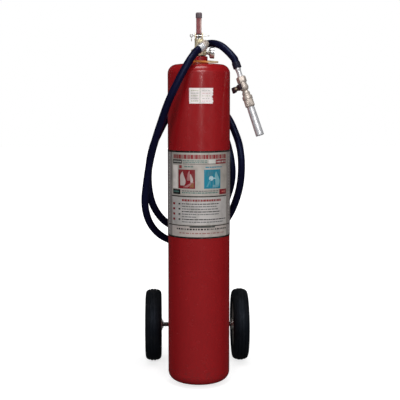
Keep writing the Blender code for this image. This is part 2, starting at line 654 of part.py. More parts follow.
def make_axle(pin_places):
    collar = WHEEL_X - HUB_IN - RUN
    half = [(AXLE_R - 0.001, AXLE_END_X), (AXLE_R, AXLE_END_X - 0.001), (AXLE_R, collar)]
    half += [(0.0140, collar), (0.0140, collar - 0.003), (AXLE_R, collar - 0.003)]
    profile = [(0, AXLE_END_X), *half] + [(r, -x) for r, x in half[::-1]] + [(0, -AXLE_END_X)]
    axle = turned("axle", profile, "steel", 20, (0, AXLE_Y, WHEEL_R), toward((1, 0, 0)))
    for x in pin_places:
        hole = rod(f"pin_hole_{x:.3f}", 0.0018, -0.02, 0.02, None, 10, (x, AXLE_Y, WHEEL_R))
        combine(axle, hole, "DIFFERENCE")


def make_axle_plates():
    near = 0.0826
    eye = [(AXLE_Y + 0.020 * math.cos(math.radians(a)), WHEEL_R + 0.020 * math.sin(math.radians(a)))
           for a in (-100, -60, -20, 20, 60, 100)]
    outline = [(near, 0.070), *eye, (0.150, 0.175), (near, 0.290)]
    for side, word in ((-1, "left"), (1, "right")):
        xs = sorted((side * PLATE_X, side * (PLATE_X + PLATE_THICK)))
        made = plate(f"axle_plate_{word}", outline, xs[0], xs[1], "red_paint")
        place = (0, AXLE_Y, WHEEL_R)
        hole = rod(f"plate_hole_{word}", AXLE_R + GAP, -0.09, 0.09, None, 20, place, toward((1, 0, 0)))
        combine(made, hole, "DIFFERENCE")


# ---- Tow handle and hose rack --------------------------------------------------------------------


def make_handle():
    front = BOLT_Y - 0.012
    points = [(-HANDLE_X, front, HANDLE_Z), (-HANDLE_X, 0.150, HANDLE_Z)]
    corner_y = HANDLE_BACK_Y - HANDLE_CORNER_R
    corner_x = HANDLE_X - HANDLE_CORNER_R
    for i in range(6):
        a = math.radians(90 * i / 5)
        along, back = HANDLE_CORNER_R * math.cos(a), HANDLE_CORNER_R * math.sin(a)
        points.append((-corner_x - along, corner_y + back, HANDLE_Z))
    points += [(-x, y, z) for x, y, z in points[::-1]]
    bar = meshed(pipe("tow_handle", points, HANDLE_TUBE_R, "red_paint", 3))
    grip_half = corner_x - 0.004
    place = (0, HANDLE_BACK_Y, HANDLE_Z)
    inner, outer = HANDLE_TUBE_R + GAP, HANDLE_TUBE_R + 0.0045
    sleeve("handle_grip", inner, outer, -grip_half, grip_half, "black_plastic", 20, place, toward((1, 0, 0)),
           edge=0.0015)
    for side, word in ((-1, "left"), (1, "right")):
        x = side * (LUG_X + LUG_THICK / 2)
        lug = box(f"handle_lug_{word}", (LUG_THICK, 0.030, 0.030), (x, BOLT_Y, HANDLE_Z), "red_paint")
        turn = toward((side, 0, 0))
        hole = rod(f"bolt_hole_{word}", 0.0043, 0.050, 0.120, None, 14, (0, BOLT_Y, HANDLE_Z), turn)
        combine(lug, hole, "DIFFERENCE")
        combine(bar, hole, "DIFFERENCE")
        make_bolt(side, word)


def make_bolt(side, word):
    """A bolt with its nut run up, through the handle's tube and the lug."""
    outside = HANDLE_X + HANDLE_TUBE_R + GAP
    inside = LUG_X - GAP
    place = (0, BOLT_Y, HANDLE_Z)
    turn = toward((side, 0, 0))
    bolt = rod(f"handle_bolt_{word}", 0.0040, inside - 0.009, outside + 0.001, "steel", 14, place, turn)
    head = hexagon(f"head_guide_{word}", 0.015, outside, outside + 0.0055, None, place, turn)
    nut = hexagon(f"nut_guide_{word}", 0.015, inside - 0.0065, inside, None, place, turn)
    combine(bolt, head, "UNION")
    combine(bolt, nut, "UNION")


def make_rack():
    """The bar on the back of the cylinder whose hook and saddle carry the hose."""
    near = TANK_R + GAP
    far = near + RACK_THICK
    hook_z, tip_y, tip_z = 0.9190, 0.1530, 0.9310
    outline = [(near, 0.880), (far, 0.880), (far, hook_z), (tip_y, hook_z), (tip_y + 0.004, hook_z + 0.004)]
    outline += [(tip_y + 0.004, tip_z), (tip_y, tip_z), (tip_y, hook_z + 0.005), (far, hook_z + 0.005)]
    outline += [(far, 1.0730), (near, 1.0730)]
    plate("hose_rack", outline, -RACK_WIDTH / 2, RACK_WIDTH / 2, "red_paint")


def make_saddle():
    """A short channel under the top of the hose's last bend."""
    under, after = Vector((-0.0100, 0.1150, 1.0890)), Vector((-0.0030, 0.0984, 1.1062))
    along = (after - under).normalized()
    across = along.cross(Vector((0, 0, 1))).normalized()
    down = along.cross(across)
    frame = Matrix((across, down, along)).transposed()
    inner, outer = HOSE_R + 0.0030, HOSE_R + 0.0055
    angles = [math.radians(20 + 140 * i / 8) for i in range(9)]
    outline = [(outer * math.cos(a), outer * math.sin(a)) for a in angles]
    outline += [(inner * math.cos(a), inner * math.sin(a)) for a in angles[::-1]]
    mesh = bpy.data.meshes.new("hose_saddle")
    bm = bmesh.new()
    face = bm.faces.new([bm.verts.new((x, y, -0.009)) for x, y in outline])
    made = bmesh.ops.extrude_face_region(bm, geom=[face])
    moved = [v for v in made["geom"] if isinstance(v, bmesh.types.BMVert)]
    bmesh.ops.translate(bm, verts=moved, vec=(0, 0, 0.018))
    bmesh.ops.recalc_face_normals(bm, faces=bm.faces)
    bm.to_mesh(mesh)
    bm.free()
    add("hose_saddle", mesh, "red_paint", under, frame)


def main():
    clear_scene()
    make_cylinder()
    make_labels()
    make_valve()
    make_stem()
    make_lever()
    make_lever_cap()
    make_safety_pin()
    make_gauge()
    make_maintenance_ring()
    make_hose_end()
    make_hose()
    make_nozzle()
    pins = [make_wheel(-1, "left"), make_wheel(1, "right")]
    make_axle(pins)
    make_axle_plates()
    make_handle()
    make_rack()
    make_saddle()


main()
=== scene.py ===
"""The looks of the wheeled fire extinguisher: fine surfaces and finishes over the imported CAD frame.

Metres, +Z up, in the frame's own coordinates. The front of the cylinder faces -Y.
"""

import json
import math
import random

import bmesh
import bpy
from mathutils import Matrix, Vector


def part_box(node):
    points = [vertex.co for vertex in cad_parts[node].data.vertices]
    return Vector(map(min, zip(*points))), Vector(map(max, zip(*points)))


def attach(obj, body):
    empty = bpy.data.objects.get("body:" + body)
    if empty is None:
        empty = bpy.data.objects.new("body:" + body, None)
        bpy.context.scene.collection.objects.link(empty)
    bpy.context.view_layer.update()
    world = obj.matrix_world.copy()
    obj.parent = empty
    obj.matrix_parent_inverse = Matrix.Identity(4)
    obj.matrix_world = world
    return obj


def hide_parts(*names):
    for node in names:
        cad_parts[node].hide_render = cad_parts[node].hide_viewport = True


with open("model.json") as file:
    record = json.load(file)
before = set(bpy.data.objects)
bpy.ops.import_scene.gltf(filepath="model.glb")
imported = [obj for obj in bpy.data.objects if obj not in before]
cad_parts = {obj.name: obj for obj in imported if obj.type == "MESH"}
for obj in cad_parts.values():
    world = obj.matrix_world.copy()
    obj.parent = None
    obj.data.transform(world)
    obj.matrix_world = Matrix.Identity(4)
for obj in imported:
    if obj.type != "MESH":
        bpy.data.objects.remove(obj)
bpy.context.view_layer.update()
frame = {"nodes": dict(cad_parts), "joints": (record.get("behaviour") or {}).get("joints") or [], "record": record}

NODES = frame["nodes"]
BODY_OF = {node: body for body, nodes in frame["record"]["behaviour"]["bodies"].items() for node in nodes}

GAP = 0.0003  # the gap the CAD keeps between pieces that touch
CRISP = 38  # edges sharper than this many degrees stay crisp
TYRE_CRISP = 50  # and on the tyres

# Camera
CAMERA_AT = (-0.0944, -3.0886, 0.952)
CAMERA_YAW = 1.82
CAMERA_PITCH = 5.145
CAMERA_LENS = 85
CAMERA_SHIFT = -0.05

# How bright the surroundings are in front and behind, for light and for gloss
WORLD_LIGHT = (0.28, 0.12)
WORLD_GLOSS = (0.20, 0.03)
WORLD_FADE = (0.2, -0.9)  # where they go over from one to the other, along Y

# Floor: its half width, how far its gradient reaches, and its glow far off and under the object
FLOOR_HALF = 14
FLOOR_FADE_R = 2.6
FLOOR_NEAR = 0.7
FLOOR_GLOW = (1.2, 0.72)
FLOOR_DROP = 0.0005

# Cylinder
TANK_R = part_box("cylinder_shell")[1].x
KNUCKLE_R = 0.030
TOP_CROWN_R = 0.600
BASE_CROWN_R = 0.300
SIDE_LOW = 0.038
SIDE_HIGH = 1.021
LABEL_REACH = 118  # how many degrees the main label goes round from the front, each way
LABEL_LIFT = GAP + 0.0004  # how far the labels' faces stand off the wall

# Hose: its way out of the valve, its way into the nozzle and the route between them
HOSE_DIAMETER = 0.024
OUTLET_DIR = Vector((0.65, -0.76, 0)).normalized()
OUTLET_Z = 1.1170
HOSE_DIR = Vector((-0.67, -0.573, -0.472)).normalized()
HOSE_LEAD = 0.012
HOSE_STEP = 0.010
HOSE_ROUTE = [
    (-0.029, -0.097, 1.065), (-0.050, -0.112, 1.030), (-0.073, -0.117, 0.986), (-0.099, -0.108, 0.931),
    (-0.123, -0.085, 0.865), (-0.144, -0.055, 0.800), (-0.160, -0.024, 0.735), (-0.172, 0.000, 0.662),
    (-0.178, 0.020, 0.600), (-0.171, 0.045, 0.548), (-0.152, 0.076, 0.505), (-0.120, 0.110, 0.470),
    (-0.075, 0.138, 0.448), (-0.020, 0.150, 0.442), (0.035, 0.145, 0.460), (0.078, 0.124, 0.500),
    (0.108, 0.094, 0.548), (0.128, 0.057, 0.605), (0.139, 0.026, 0.665), (0.141, 0.014, 0.730),
    (0.135, 0.026, 0.785), (0.122, 0.055, 0.829), (0.104, 0.087, 0.871), (0.075, 0.116, 0.910),
    (0.040, 0.132, 0.932), (0.000, 0.138, 0.939), (-0.040, 0.132, 0.932), (-0.076, 0.115, 0.910),
    (-0.107, 0.088, 0.871), (-0.131, 0.068, 0.827), (-0.150, 0.053, 0.785), (-0.162, 0.045, 0.735),
    (-0.167, 0.044, 0.670), (-0.159, 0.054, 0.608), (-0.140, 0.076, 0.560), (-0.108, 0.106, 0.520),
    (-0.064, 0.130, 0.497), (-0.012, 0.139, 0.492), (0.040, 0.129, 0.512), (0.077, 0.108, 0.557),
    (0.101, 0.088, 0.613), (0.114, 0.077, 0.672), (0.112, 0.079, 0.730), (0.099, 0.097, 0.790),
    (0.077, 0.124, 0.850), (0.050, 0.149, 0.903), (0.020, 0.164, 0.953), (-0.006, 0.164, 1.000),
    (-0.018, 0.149, 1.043), (-0.015, 0.124, 1.079), (-0.001, 0.097, 1.104), (0.022, 0.069, 1.118),
    (0.047, 0.044, 1.121), (0.073, 0.021, 1.112), (0.097, 0.001, 1.090),
]


# ---- Measuring the frame ----


def points_of(node):
    return [v.co.copy() for v in NODES[node].data.vertices]


def middle(node):
    """The mean of a node's points, which is on the axis of a turned piece."""
    points = points_of(node)
    return sum(points, Vector()) / len(points)


def span(node, place, way):
    """How far a node reaches along an axis from a place on it, and its greatest distance from the axis."""
    along = [(p - place).dot(way) for p in points_of(node)]
    away = [((p - place) - way * a).length for p, a in zip(points_of(node), along)]
    return min(along), max(along), max(away)


def joint(name):
    return next(j for j in frame["joints"] if j["name"] == name)


# ---- Shapes ----


def turned_to(way):
    return Vector(way).to_track_quat("Z", "Y").to_matrix().to_4x4()


def finished(name, mesh, sharp=CRISP):
    """Puts a mesh in the scene as one smooth-shaded object whose edges stay crisp above an angle."""
    mesh.shade_smooth()
    mesh.set_sharp_from_angle(angle=math.radians(sharp))
    obj = bpy.data.objects.new(name, mesh)
    bpy.context.scene.collection.objects.link(obj)
    return obj


def made_from(bm, name, sharp=CRISP, inks=None):
    """A bmesh as a finished object, with a colour for each face where inks are given."""
    mesh = bpy.data.meshes.new(name)
    bm.to_mesh(mesh)
    bm.free()
    if inks:
        layer = mesh.color_attributes.new("ink", "FLOAT_COLOR", "CORNER")
        values = []
        for face, colour in zip(mesh.polygons, inks):
            values += [*colour, 1.0] * face.loop_total
        layer.data.foreach_set("color", values)
    return finished(name, mesh, sharp)


def eased(outline, reach, closed=False, steps=3):
    """An outline with its corners rounded, each round starting up to reach from its corner."""
    points = [Vector(p) for p in outline]
    made = []
    for i, corner in enumerate(points):
        before = points[i - 1]
        after = points[(i + 1) % len(points)]
        at_end = not closed and i in (0, len(points) - 1)
        if at_end or (corner - before).angle(after - corner, 0) < math.radians(14):
            made.append(corner)
            continue
        cut = min(reach, 0.4 * (before - corner).length, 0.4 * (after - corner).length)
        start = corner + (before - corner).normalized() * cut
        end = corner + (after - corner).normalized() * cut
        for k in range(steps + 1):
            t = k / steps
            made.append(start * (1 - t) ** 2 + corner * 2 * t * (1 - t) + end * t * t)
    return [tuple(p) for p in made]


def turned(name, section, place=(0, 0, 0), way=(0, 0, 1), segments=96, closed=False, sharp=CRISP):
    """A turned piece. section is a list of (r, z), or a function of the angle that gives one."""
    turn = Matrix.Translation(place) @ turned_to(way)
    bm = bmesh.new()
    columns = []
    poles = {}
    for i in range(segments):
        angle = 2 * math.pi * i / segments
        column = []
        for k, (r, z) in enumerate(section(angle) if callable(section) else section):
            if r < 1e-7:
                if k not in poles:
                    poles[k] = bm.verts.new(turn @ Vector((0, 0, z)))
                column.append(poles[k])
            else:
                column.append(bm.verts.new(turn @ Vector((r * math.cos(angle), r * math.sin(angle), z))))
        columns.append(column)
    for i, column in enumerate(columns):
        beside = columns[(i + 1) % segments]
        for k in range(len(column) - (0 if closed else 1)):
            n = (k + 1) % len(column)
            corners = [column[k], beside[k], beside[n], column[n]]
            corners = [c for j, c in enumerate(corners) if c is not corners[j - 1]]
            if len(corners) > 2:
                bm.faces.new(corners)
    bmesh.ops.recalc_face_normals(bm, faces=bm.faces)
    return made_from(bm, name, sharp)


def hexagon_section(corner_r, low, high, bore):
    """A nut's section at each angle: six flats, with the corners turned down at both faces."""
    flat_r = corner_r * math.cos(math.radians(30))

    def section(angle):
        from_flat = (math.degrees(angle) % 60) - 30
        out = min(flat_r / math.cos(math.radians(from_flat)), corner_r * 0.985)
        drop = (out - flat_r * 0.96) * 0.5
        return [(bore, high), (flat_r * 0.95, high), (out - 0.0002, high - drop), (out, high - drop - 0.0003),
                (out, low + drop + 0.0003), (out - 0.0002, low + drop), (flat_r * 0.95, low), (bore, low)]

    return section


def slab(name, outline, low_x, high_x, edge):
    """An outline in the Y-Z plane extruded along X, with rounded edges."""
    bm = bmesh.new()
    face = bm.faces.new([bm.verts.new((low_x, y, z)) for y, z in outline])
    made = bmesh.ops.extrude_face_region(bm, geom=[face])
    moved = [v for v in made["geom"] if isinstance(v, bmesh.types.BMVert)]
    bmesh.ops.translate(bm, verts=moved, vec=(high_x - low_x, 0, 0))
    bmesh.ops.recalc_face_normals(bm, faces=bm.faces)
    rims = [e for e in bm.edges if e.calc_face_angle(0) > math.radians(40)]
    bmesh.ops.bevel(bm, geom=rims, offset=edge, segments=3, profile=0.5, affect="EDGES")
    return made_from(bm, name)


def tube(name, points, radius, cyclic=False):
    """A round bar or hose as a curve of one spline."""
    curve = bpy.data.curves.new(name, "CURVE")
    curve.dimensions = "3D"
    curve.bevel_depth = radius
    curve.bevel_resolution = 8
    curve.use_fill_caps = not cyclic
    spline = curve.splines.new("POLY")
    spline.points.add(len(points) - 1)
    for point, place in zip(spline.points, points):
        point.co = (*place, 1)
    spline.use_cyclic_u = cyclic
    spline.use_smooth = True
    obj = bpy.data.objects.new(name, curve)
    bpy.context.scene.collection.objects.link(obj)
    return obj


def meshed(obj):
    """A curve turned into a mesh."""
    name = obj.name
    mesh = bpy.data.meshes.new_from_object(obj)
    bpy.data.objects.remove(obj, do_unlink=True)
    return finished(name, mesh)


def joined(name, parts):
    """Several meshes in one object."""
    bm = bmesh.new()
    for part in parts:
        bm.from_mesh(part.data)
        bpy.data.objects.remove(part, do_unlink=True)
    return made_from(bm, name)


def smooth_route(route, step):
    """Points an even step apart on a smooth curve through the route."""
    pts = [Vector(p) for p in route]
    pts = [2 * pts[0] - pts[1], *pts, 2 * pts[-1] - pts[-2]]
    fine = []
    for a, b, c, d in zip(pts, pts[1:], pts[2:], pts[3:]):
        for i in range(12):
            t = i / 12
            bend = 2 * a - 5 * b + 4 * c - d
            twist = -a + 3 * b - 3 * c + d
            fine.append(0.5 * (2 * b + (c - a) * t + bend * t * t + twist * t**3))
    fine.append(pts[-2].copy())
    lengths = [0.0]
    for a, b in zip(fine, fine[1:]):
        lengths.append(lengths[-1] + (b - a).length)
    count = round(lengths[-1] / step)
    even = []
    at = 0
    for i in range(count + 1):
        want = lengths[-1] * i / count
        while at < len(fine) - 2 and lengths[at + 1] < want:
            at += 1
        share = (want - lengths[at]) / (lengths[at + 1] - lengths[at])
        even.append(fine[at].lerp(fine[at + 1], share))
    return even


def circle(count, place):
    """Points round a circle: place gives the point at each angle."""
    return [place(2 * math.pi * i / count) for i in range(count)]


def quarter(place, steps):
    """Points through a quarter turn: place gives the point at each angle."""
    return [place(math.radians(90 * i / steps)) for i in range(steps + 1)]


# ---- Finishes ----


def ink(red, green, blue):
    """A display colour, 0 to 255, as linear light."""
    def linear(value):
        share = value / 255
        return share / 12.92 if share <= 0.04045 else ((share + 0.055) / 1.055) ** 2.4

    return (linear(red), linear(green), linear(blue))


def feed(tree, socket, value):
    """Gives a shader input a value or another node's output."""
    if isinstance(value, bpy.types.NodeSocket):
        tree.links.new(value, socket)
    else:
        socket.default_value = value


def shader_node(tree, kind, **inputs):
    """A new shader node with its inputs fed. A space in an input's name is written _."""
    made = tree.nodes.new("ShaderNode" + kind)
    for name, value in inputs.items():
        feed(tree, made.inputs[name.replace("_", " ")], value)
    return made


def mixed(tree, share, usual, special):
    """One colour that goes over to another by a share from 0 to 1."""
    made = shader_node(tree, "Mix")
    made.data_type = "RGBA"
    for place, value in ((0, share), (6, usual), (7, special)):
        feed(tree, made.inputs[place], value)
    return made.outputs[2]


class Finish:
    """A Principled material built up from procedural parts."""

    def __init__(self, name, colour, roughness, metallic=0.0, coat=0.0, **inputs):
        self.material = bpy.data.materials.new(name)
        self.material.use_nodes = True
        self.tree = self.material.node_tree
        self.shader = self.tree.nodes["Principled BSDF"]
        self.set(Roughness=roughness, Metallic=metallic, Coat_Weight=coat, Coat_Roughness=0.08)
        self.set(**inputs)
        self.roughness = roughness
        self.place = self.node("TexCoord").outputs["Object"]
        self.base = colour
        start = self.node("RGB").outputs[0]
        start.default_value = (*colour, 1)
        self.paint(start)

    def node(self, kind, **inputs):
        return shader_node(self.tree, kind, **inputs)

    def set(self, **inputs):
        """Feeds the shader's own inputs."""
        for name, value in inputs.items():
            feed(self.tree, self.shader.inputs[name.replace("_", " ")], value)
        return self

    def paint(self, colour):
        self.colour = colour
        return self.set(Base_Color=colour)

    def noise(self, scale, detail=3, stretch=(1, 1, 1), distortion=0.0):
        place = self.node("Mapping", Scale=stretch, Vector=self.place).outputs[0]
        made = self.node("TexNoise", Scale=scale, Detail=detail, Distortion=distortion, Vector=place)
        return made.outputs[0]

    def ranged(self, value, low, high, to_low=0.0, to_high=1.0):
        made = self.node("MapRange", Value=value, From_Min=low, From_Max=high, To_Min=to_low, To_Max=to_high)
        return made.outputs[0]

    def times(self, a, b):
        made = self.node("Math")
        made.operation = "MULTIPLY"
        made.use_clamp = True
        feed(self.tree, made.inputs[0], a)
        feed(self.tree, made.inputs[1], b)
        return made.outputs[0]

    def along(self, axis):
        """The object's own coordinate along X, Y or Z."""
        return self.node("SeparateXYZ", Vector=self.place).outputs[axis]

    def over(self, share, colour):
        """Lays another colour over what is there, by a share from 0 to 1."""
        return self.paint(mixed(self.tree, share, self.colour, (*colour, 1)))

    def mottle(self, amount, scale):
        """Patches a little darker and a little lighter than the base."""
        dark = tuple(c * (1 - amount) for c in self.base)
        light = tuple(min(1, c * (1 + amount)) for c in self.base)
        patches = self.noise(scale, 4)
        return self.over(self.ranged(patches, 0.5, 0.25), dark).over(self.ranged(patches, 0.5, 0.75), light)

    def uneven(self, spread, scale):
        """Roughness that varies by spread either way."""
        low = max(0.02, self.roughness - spread)
        return self.set(Roughness=self.ranged(self.noise(scale, 4), 0.3, 0.7, low, self.roughness + spread))

    def bumpy(self, depth, scale, detail=3, stretch=(1, 1, 1)):
        """Surface relief, depth in metres."""
        relief = self.node("Bump", Distance=depth, Height=self.noise(scale, detail, stretch))
        return self.set(Normal=relief.outputs[0])

    def dusty(self, colour, amount, scale=30):
        """Dust on what faces up."""
        parts = self.node("SeparateXYZ", Vector=self.node("NewGeometry").outputs["Normal"])
        up = self.ranged(parts.outputs[2], 0.1, 1.0, 0, amount)
        return self.over(self.times(up, self.ranged(self.noise(scale), 0.3, 0.6)), colour)

    def spots(self, colour, amount, scale, threshold=0.62):
        """Small worn or stained spots."""
        share = self.ranged(self.noise(scale, 6, distortion=0.6), threshold, threshold + 0.06, 0, amount)
        return self.over(share, colour)


def darker(colour, share):
    return tuple(c * share for c in colour)


def red_enamel():
    """Glossy enamel with orange peel, faint colour drift and scuffs low down."""
    made = Finish("red_enamel", ink(150, 20, 25), 0.24, coat=0.12, Specular_IOR_Level=0.34)
    made.set(Coat_Roughness=0.12).mottle(0.06, 6).mottle(0.04, 45)
    low = made.ranged(made.along(2), 0.10, 0.0)
    scuffs = made.times(low, made.ranged(made.noise(60, 5, (1, 1, 4)), 0.52, 0.62))
    made.over(made.times(scuffs, 0.5), (0.05, 0.02, 0.02))
    return made.uneven(0.06, 30).bumpy(0.00012, 260, 1).material


def lever_enamel():
    """Enamel with a painted reflection: pale streaks along the lever's right flange stand in for light glancing
    off it.
    """
    made = Finish("lever_red_enamel", ink(120, 34, 40), 0.42, coat=0.1).mottle(0.15, 90)
    # Painted reflection: the right flange is mixed toward pale pink in streaks, standing in for the light it
    # catches.
    right = made.ranged(made.along(0), 0.0015, 0.0065)
    flange_sheen = made.times(right, made.ranged(made.noise(120, 4, (1, 1, 0.35)), 0.38, 0.52))
    made.over(made.times(flange_sheen, 0.75), ink(206, 176, 166))
    return made.uneven(0.1, 80).bumpy(0.0001, 500, 2).material


def cast_brass(name, colour, pits=0.00035, metallic=0.6):
    made = Finish(name, colour, 0.44, metallic).mottle(0.14, 70)
    return made.spots(darker(colour, 0.35), 0.45, 180).uneven(0.12, 120).bumpy(pits, 700, 4).material


def plated(name, colour, roughness=0.25, metallic=0.85):
    made = Finish(name, colour, roughness, metallic).mottle(0.08, 60)
    return made.spots(darker(colour, 0.55), 0.35, 240, 0.66).uneven(0.09, 90).bumpy(0.00006, 900, 2).material


def rubber(name, colour, roughness, dust=0.0, grain=0.0002):
    made = Finish(name, colour, roughness, Specular_IOR_Level=0.25, Specular_Tint=(0.6, 0.75, 1.0, 1))
    made.mottle(0.25, 40)
    if dust:
        made.dusty(ink(120, 116, 112), dust).spots(ink(110, 106, 100), dust * 0.5, 55, 0.56)
    return made.uneven(0.08, 70).bumpy(grain, 900, 3).material


def moulded(name, colour, roughness=0.45):
    return Finish(name, colour, roughness).mottle(0.12, 50).uneven(0.06, 150).bumpy(0.00008, 1600, 2).material


def hose_skin():
    """Smooth navy rubber with the faint wrap marks of its making and a little bloom."""
    made = Finish("hose_navy_rubber", ink(13, 12, 38), 0.36, Specular_IOR_Level=0.18,
                  Specular_Tint=(0.45, 0.62, 1.0, 1))
    made.mottle(0.30, 14).spots(ink(28, 36, 66), 0.20, 120, 0.58)
    return made.uneven(0.08, 60).bumpy(0.00025, 420, 2, (1, 1, 2.2)).material


def ring_plastic():
    """Orange at the front left, going over to straw on the right."""
    made = Finish("ring_orange_plastic", ink(214, 128, 42), 0.42)
    made.over(made.ranged(made.along(0), 0.018, 0.034), ink(206, 186, 144))
    return made.spots(ink(150, 110, 60), 0.35, 90, 0.58).uneven(0.08, 80).bumpy(0.00015, 600, 3).material


def printed(name, roughness, metallic, wear):
    """A film whose inks are on its faces, under fine scratches and a little grime."""
    made = Finish(name, ink(170, 172, 166), roughness, metallic)
    inks = made.node("VertexColor")
    inks.layer_name = "ink"
    made.paint(inks.outputs[0])
    made.over(made.ranged(made.noise(38, 5), 0.46, 0.75, 0, wear), ink(112, 108, 98))
    made.over(made.ranged(made.noise(500, 2, (1, 1, 0.05)), 0.60, 0.75, 0, wear * 0.6), ink(226, 226, 222))
    return made.uneven(0.10, 60).bumpy(0.00012, 90, 3).material


def lens_glass():
    made = Finish("gauge_clear_lens", (0.92, 0.96, 0.96), 0.06, Transmission_Weight=1.0, IOR=1.45)
    return made.mottle(0.03, 80).uneven(0.03, 120).bumpy(0.00002, 300, 2).material


def make_finishes():
    return {
        "red_paint": red_enamel(),
        "red_lever": lever_enamel(),
        "brass": cast_brass("cast_brass", ink(236, 224, 190)),
        "nickel": cast_brass("nickel_washed_brass", ink(204, 192, 182), 0.0002, 0.5),
        "plated_steel": plated("zinc_plated_steel", ink(205, 202, 196)),
        "chrome": plated("chromed_steel", ink(222, 222, 224), 0.14),
        "aluminium": plated("satin_aluminium", ink(218, 218, 221), 0.38, 0.5),
        "steel": plated("plain_steel", ink(110, 108, 106), 0.40),
        "black_plastic": moulded("black_moulded_plastic", ink(46, 34, 42), 0.42),
        # Painted highlight: the cap's black plastic is painted lighter for the light its rounded top catches.
        "cap_plastic": moulded("lit_cap_plastic", ink(78, 62, 68), 0.5),
        "clear_lens": lens_glass(),
        "seal_rubber": rubber("seal_rubber", ink(34, 34, 36), 0.6),
        "grip_rubber": rubber("grip_rubber", ink(30, 30, 32), 0.55, 0.2),
        "tyre_rubber": rubber("tyre_rubber", ink(12, 14, 18), 0.55, 0.05, 0.0003),
        "cuff_rubber": rubber("cuff_rubber", ink(30, 28, 44), 0.4, 0.1),
        "hose_rubber": hose_skin(),
        "ring_plastic": ring_plastic(),
        "label_film": printed("silver_label_film", 0.42, 0.25, 0.35),
        "label_paper": printed("white_label_paper", 0.6, 0.0, 0.30),
        "dial_face": printed("printed_dial", 0.4, 0.0, 0.08),
        "rim_paint": plated("zinc_rim", ink(190, 188, 182), 0.34),
        "nylon": moulded("nylon_bush", ink(214, 208, 190), 0.4),
    }


# ---- Pieces on bodies ----


def stand_for(obj, finish, node):
    """Gives a piece its finish and lets it stand for a CAD node, on its body."""
    obj.data.materials.append(FINISHES[finish])
    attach(obj, BODY_OF[node])
    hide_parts(node)


def lathe(node, finish, name, section, ease=0, place=(0, 0, 0), way=(0, 0, 1), segments=96, closed=True):
    """A turned piece that stands for a CAD node, with its corners rounded where ease is not nought."""
    if ease:
        section = eased(section, ease, closed)
    stand_for(turned(name, section, place, way, segments, closed), finish, node)


def keep(node, finish, ease=0.0):
    """Gives a CAD node its finish, and rounds its edges where ease is not nought."""
    obj = NODES[node]
    obj.data.materials.clear()
    obj.data.materials.append(FINISHES[finish])
    if "custom_normal" in obj.data.attributes:
        obj.data.attributes.remove(obj.data.attributes["custom_normal"])
    obj.data.shade_smooth()
    obj.modifiers.new("weld", "WELD").merge_threshold = 0.00001
    if ease:
        bevel = obj.modifiers.new("ease", "BEVEL")
        bevel.width = ease
        bevel.segments = 3
        bevel.limit_method = "ANGLE"
        bevel.angle_limit = math.radians(CRISP)
        bevel.harden_normals = True
        bevel.use_clamp_overlap = True
    else:
        obj.modifiers.new("crisp", "EDGE_SPLIT").split_angle = math.radians(CRISP)


# ---- Camera, light and floor ----


def make_camera():
    data = bpy.data.cameras.new("camera")
    camera = bpy.data.objects.new("camera", data)
    bpy.context.scene.collection.objects.link(camera)
    camera.location = CAMERA_AT
    camera.rotation_euler = (math.radians(90 - CAMERA_PITCH), 0, math.radians(-CAMERA_YAW))
    data.lens = CAMERA_LENS
    data.shift_y = CAMERA_SHIFT
    bpy.context.scene.camera = camera


def lamp(name, at, aim_z, size, power, colour=(1, 1, 1)):
    """An area lamp aimed at a height on the object's axis."""
    data = bpy.data.lights.new(name, "AREA")
    data.shape = "RECTANGLE"
    data.size = size[0]
    data.size_y = size[1]
    data.energy = power
    data.color = colour
    obj = bpy.data.objects.new(name, data)
    bpy.context.scene.collection.objects.link(obj)
    obj.location = at
    obj.rotation_euler = (Vector((0, 0, aim_z)) - Vector(at)).to_track_quat("-Z", "Y").to_euler()
    return obj


def make_world():
    """White to the camera; to light and to gloss it fades from the front to what is beside and behind."""
    world = bpy.data.worlds.new("studio")
    bpy.context.scene.world = world
    world.use_nodes = True
    tree = world.node_tree
    way = shader_node(tree, "TexCoord").outputs["Generated"]
    depth = shader_node(tree, "SeparateXYZ", Vector=way).outputs[1]
    seen = shader_node(tree, "LightPath").outputs

    def fading(front, behind):
        low, high = WORLD_FADE
        ends = {"From_Min": low, "From_Max": high, "To_Min": behind, "To_Max": front}
        return shader_node(tree, "MapRange", Value=depth, **ends).outputs[0]

    soft = mixed(tree, seen["Is Glossy Ray"], fading(*WORLD_LIGHT), fading(*WORLD_GLOSS))
    shown = mixed(tree, seen["Is Camera Ray"], soft, (1, 1, 1, 1))
    feed(tree, tree.nodes["Background"].inputs["Color"], shown)


def make_floor():
    """A white floor that lights nothing, a little darker under the object than far off."""
    bm = bmesh.new()
    bmesh.ops.create_grid(bm, x_segments=8, y_segments=8, size=FLOOR_HALF)
    floor = made_from(bm, "studio_floor")
    floor.location.z = -FLOOR_DROP
    floor.visible_glossy = False
    floor.visible_diffuse = False
    made = Finish("studio_floor_white", (0.55, 0.55, 0.55), 0.7, Specular_IOR_Level=0.0,
                  Emission_Color=(1, 1, 1, 1)).mottle(0.01, 3)
    place = made.node("Mapping", Scale=(1 / FLOOR_FADE_R,) * 3, Vector=made.place).outputs[0]
    fade = made.node("TexGradient", Vector=place)
    fade.gradient_type = "SPHERICAL"
    made.set(Emission_Strength=made.ranged(fade.outputs[1], 0.0, FLOOR_NEAR, *FLOOR_GLOW))
    floor.data.materials.append(made.material)


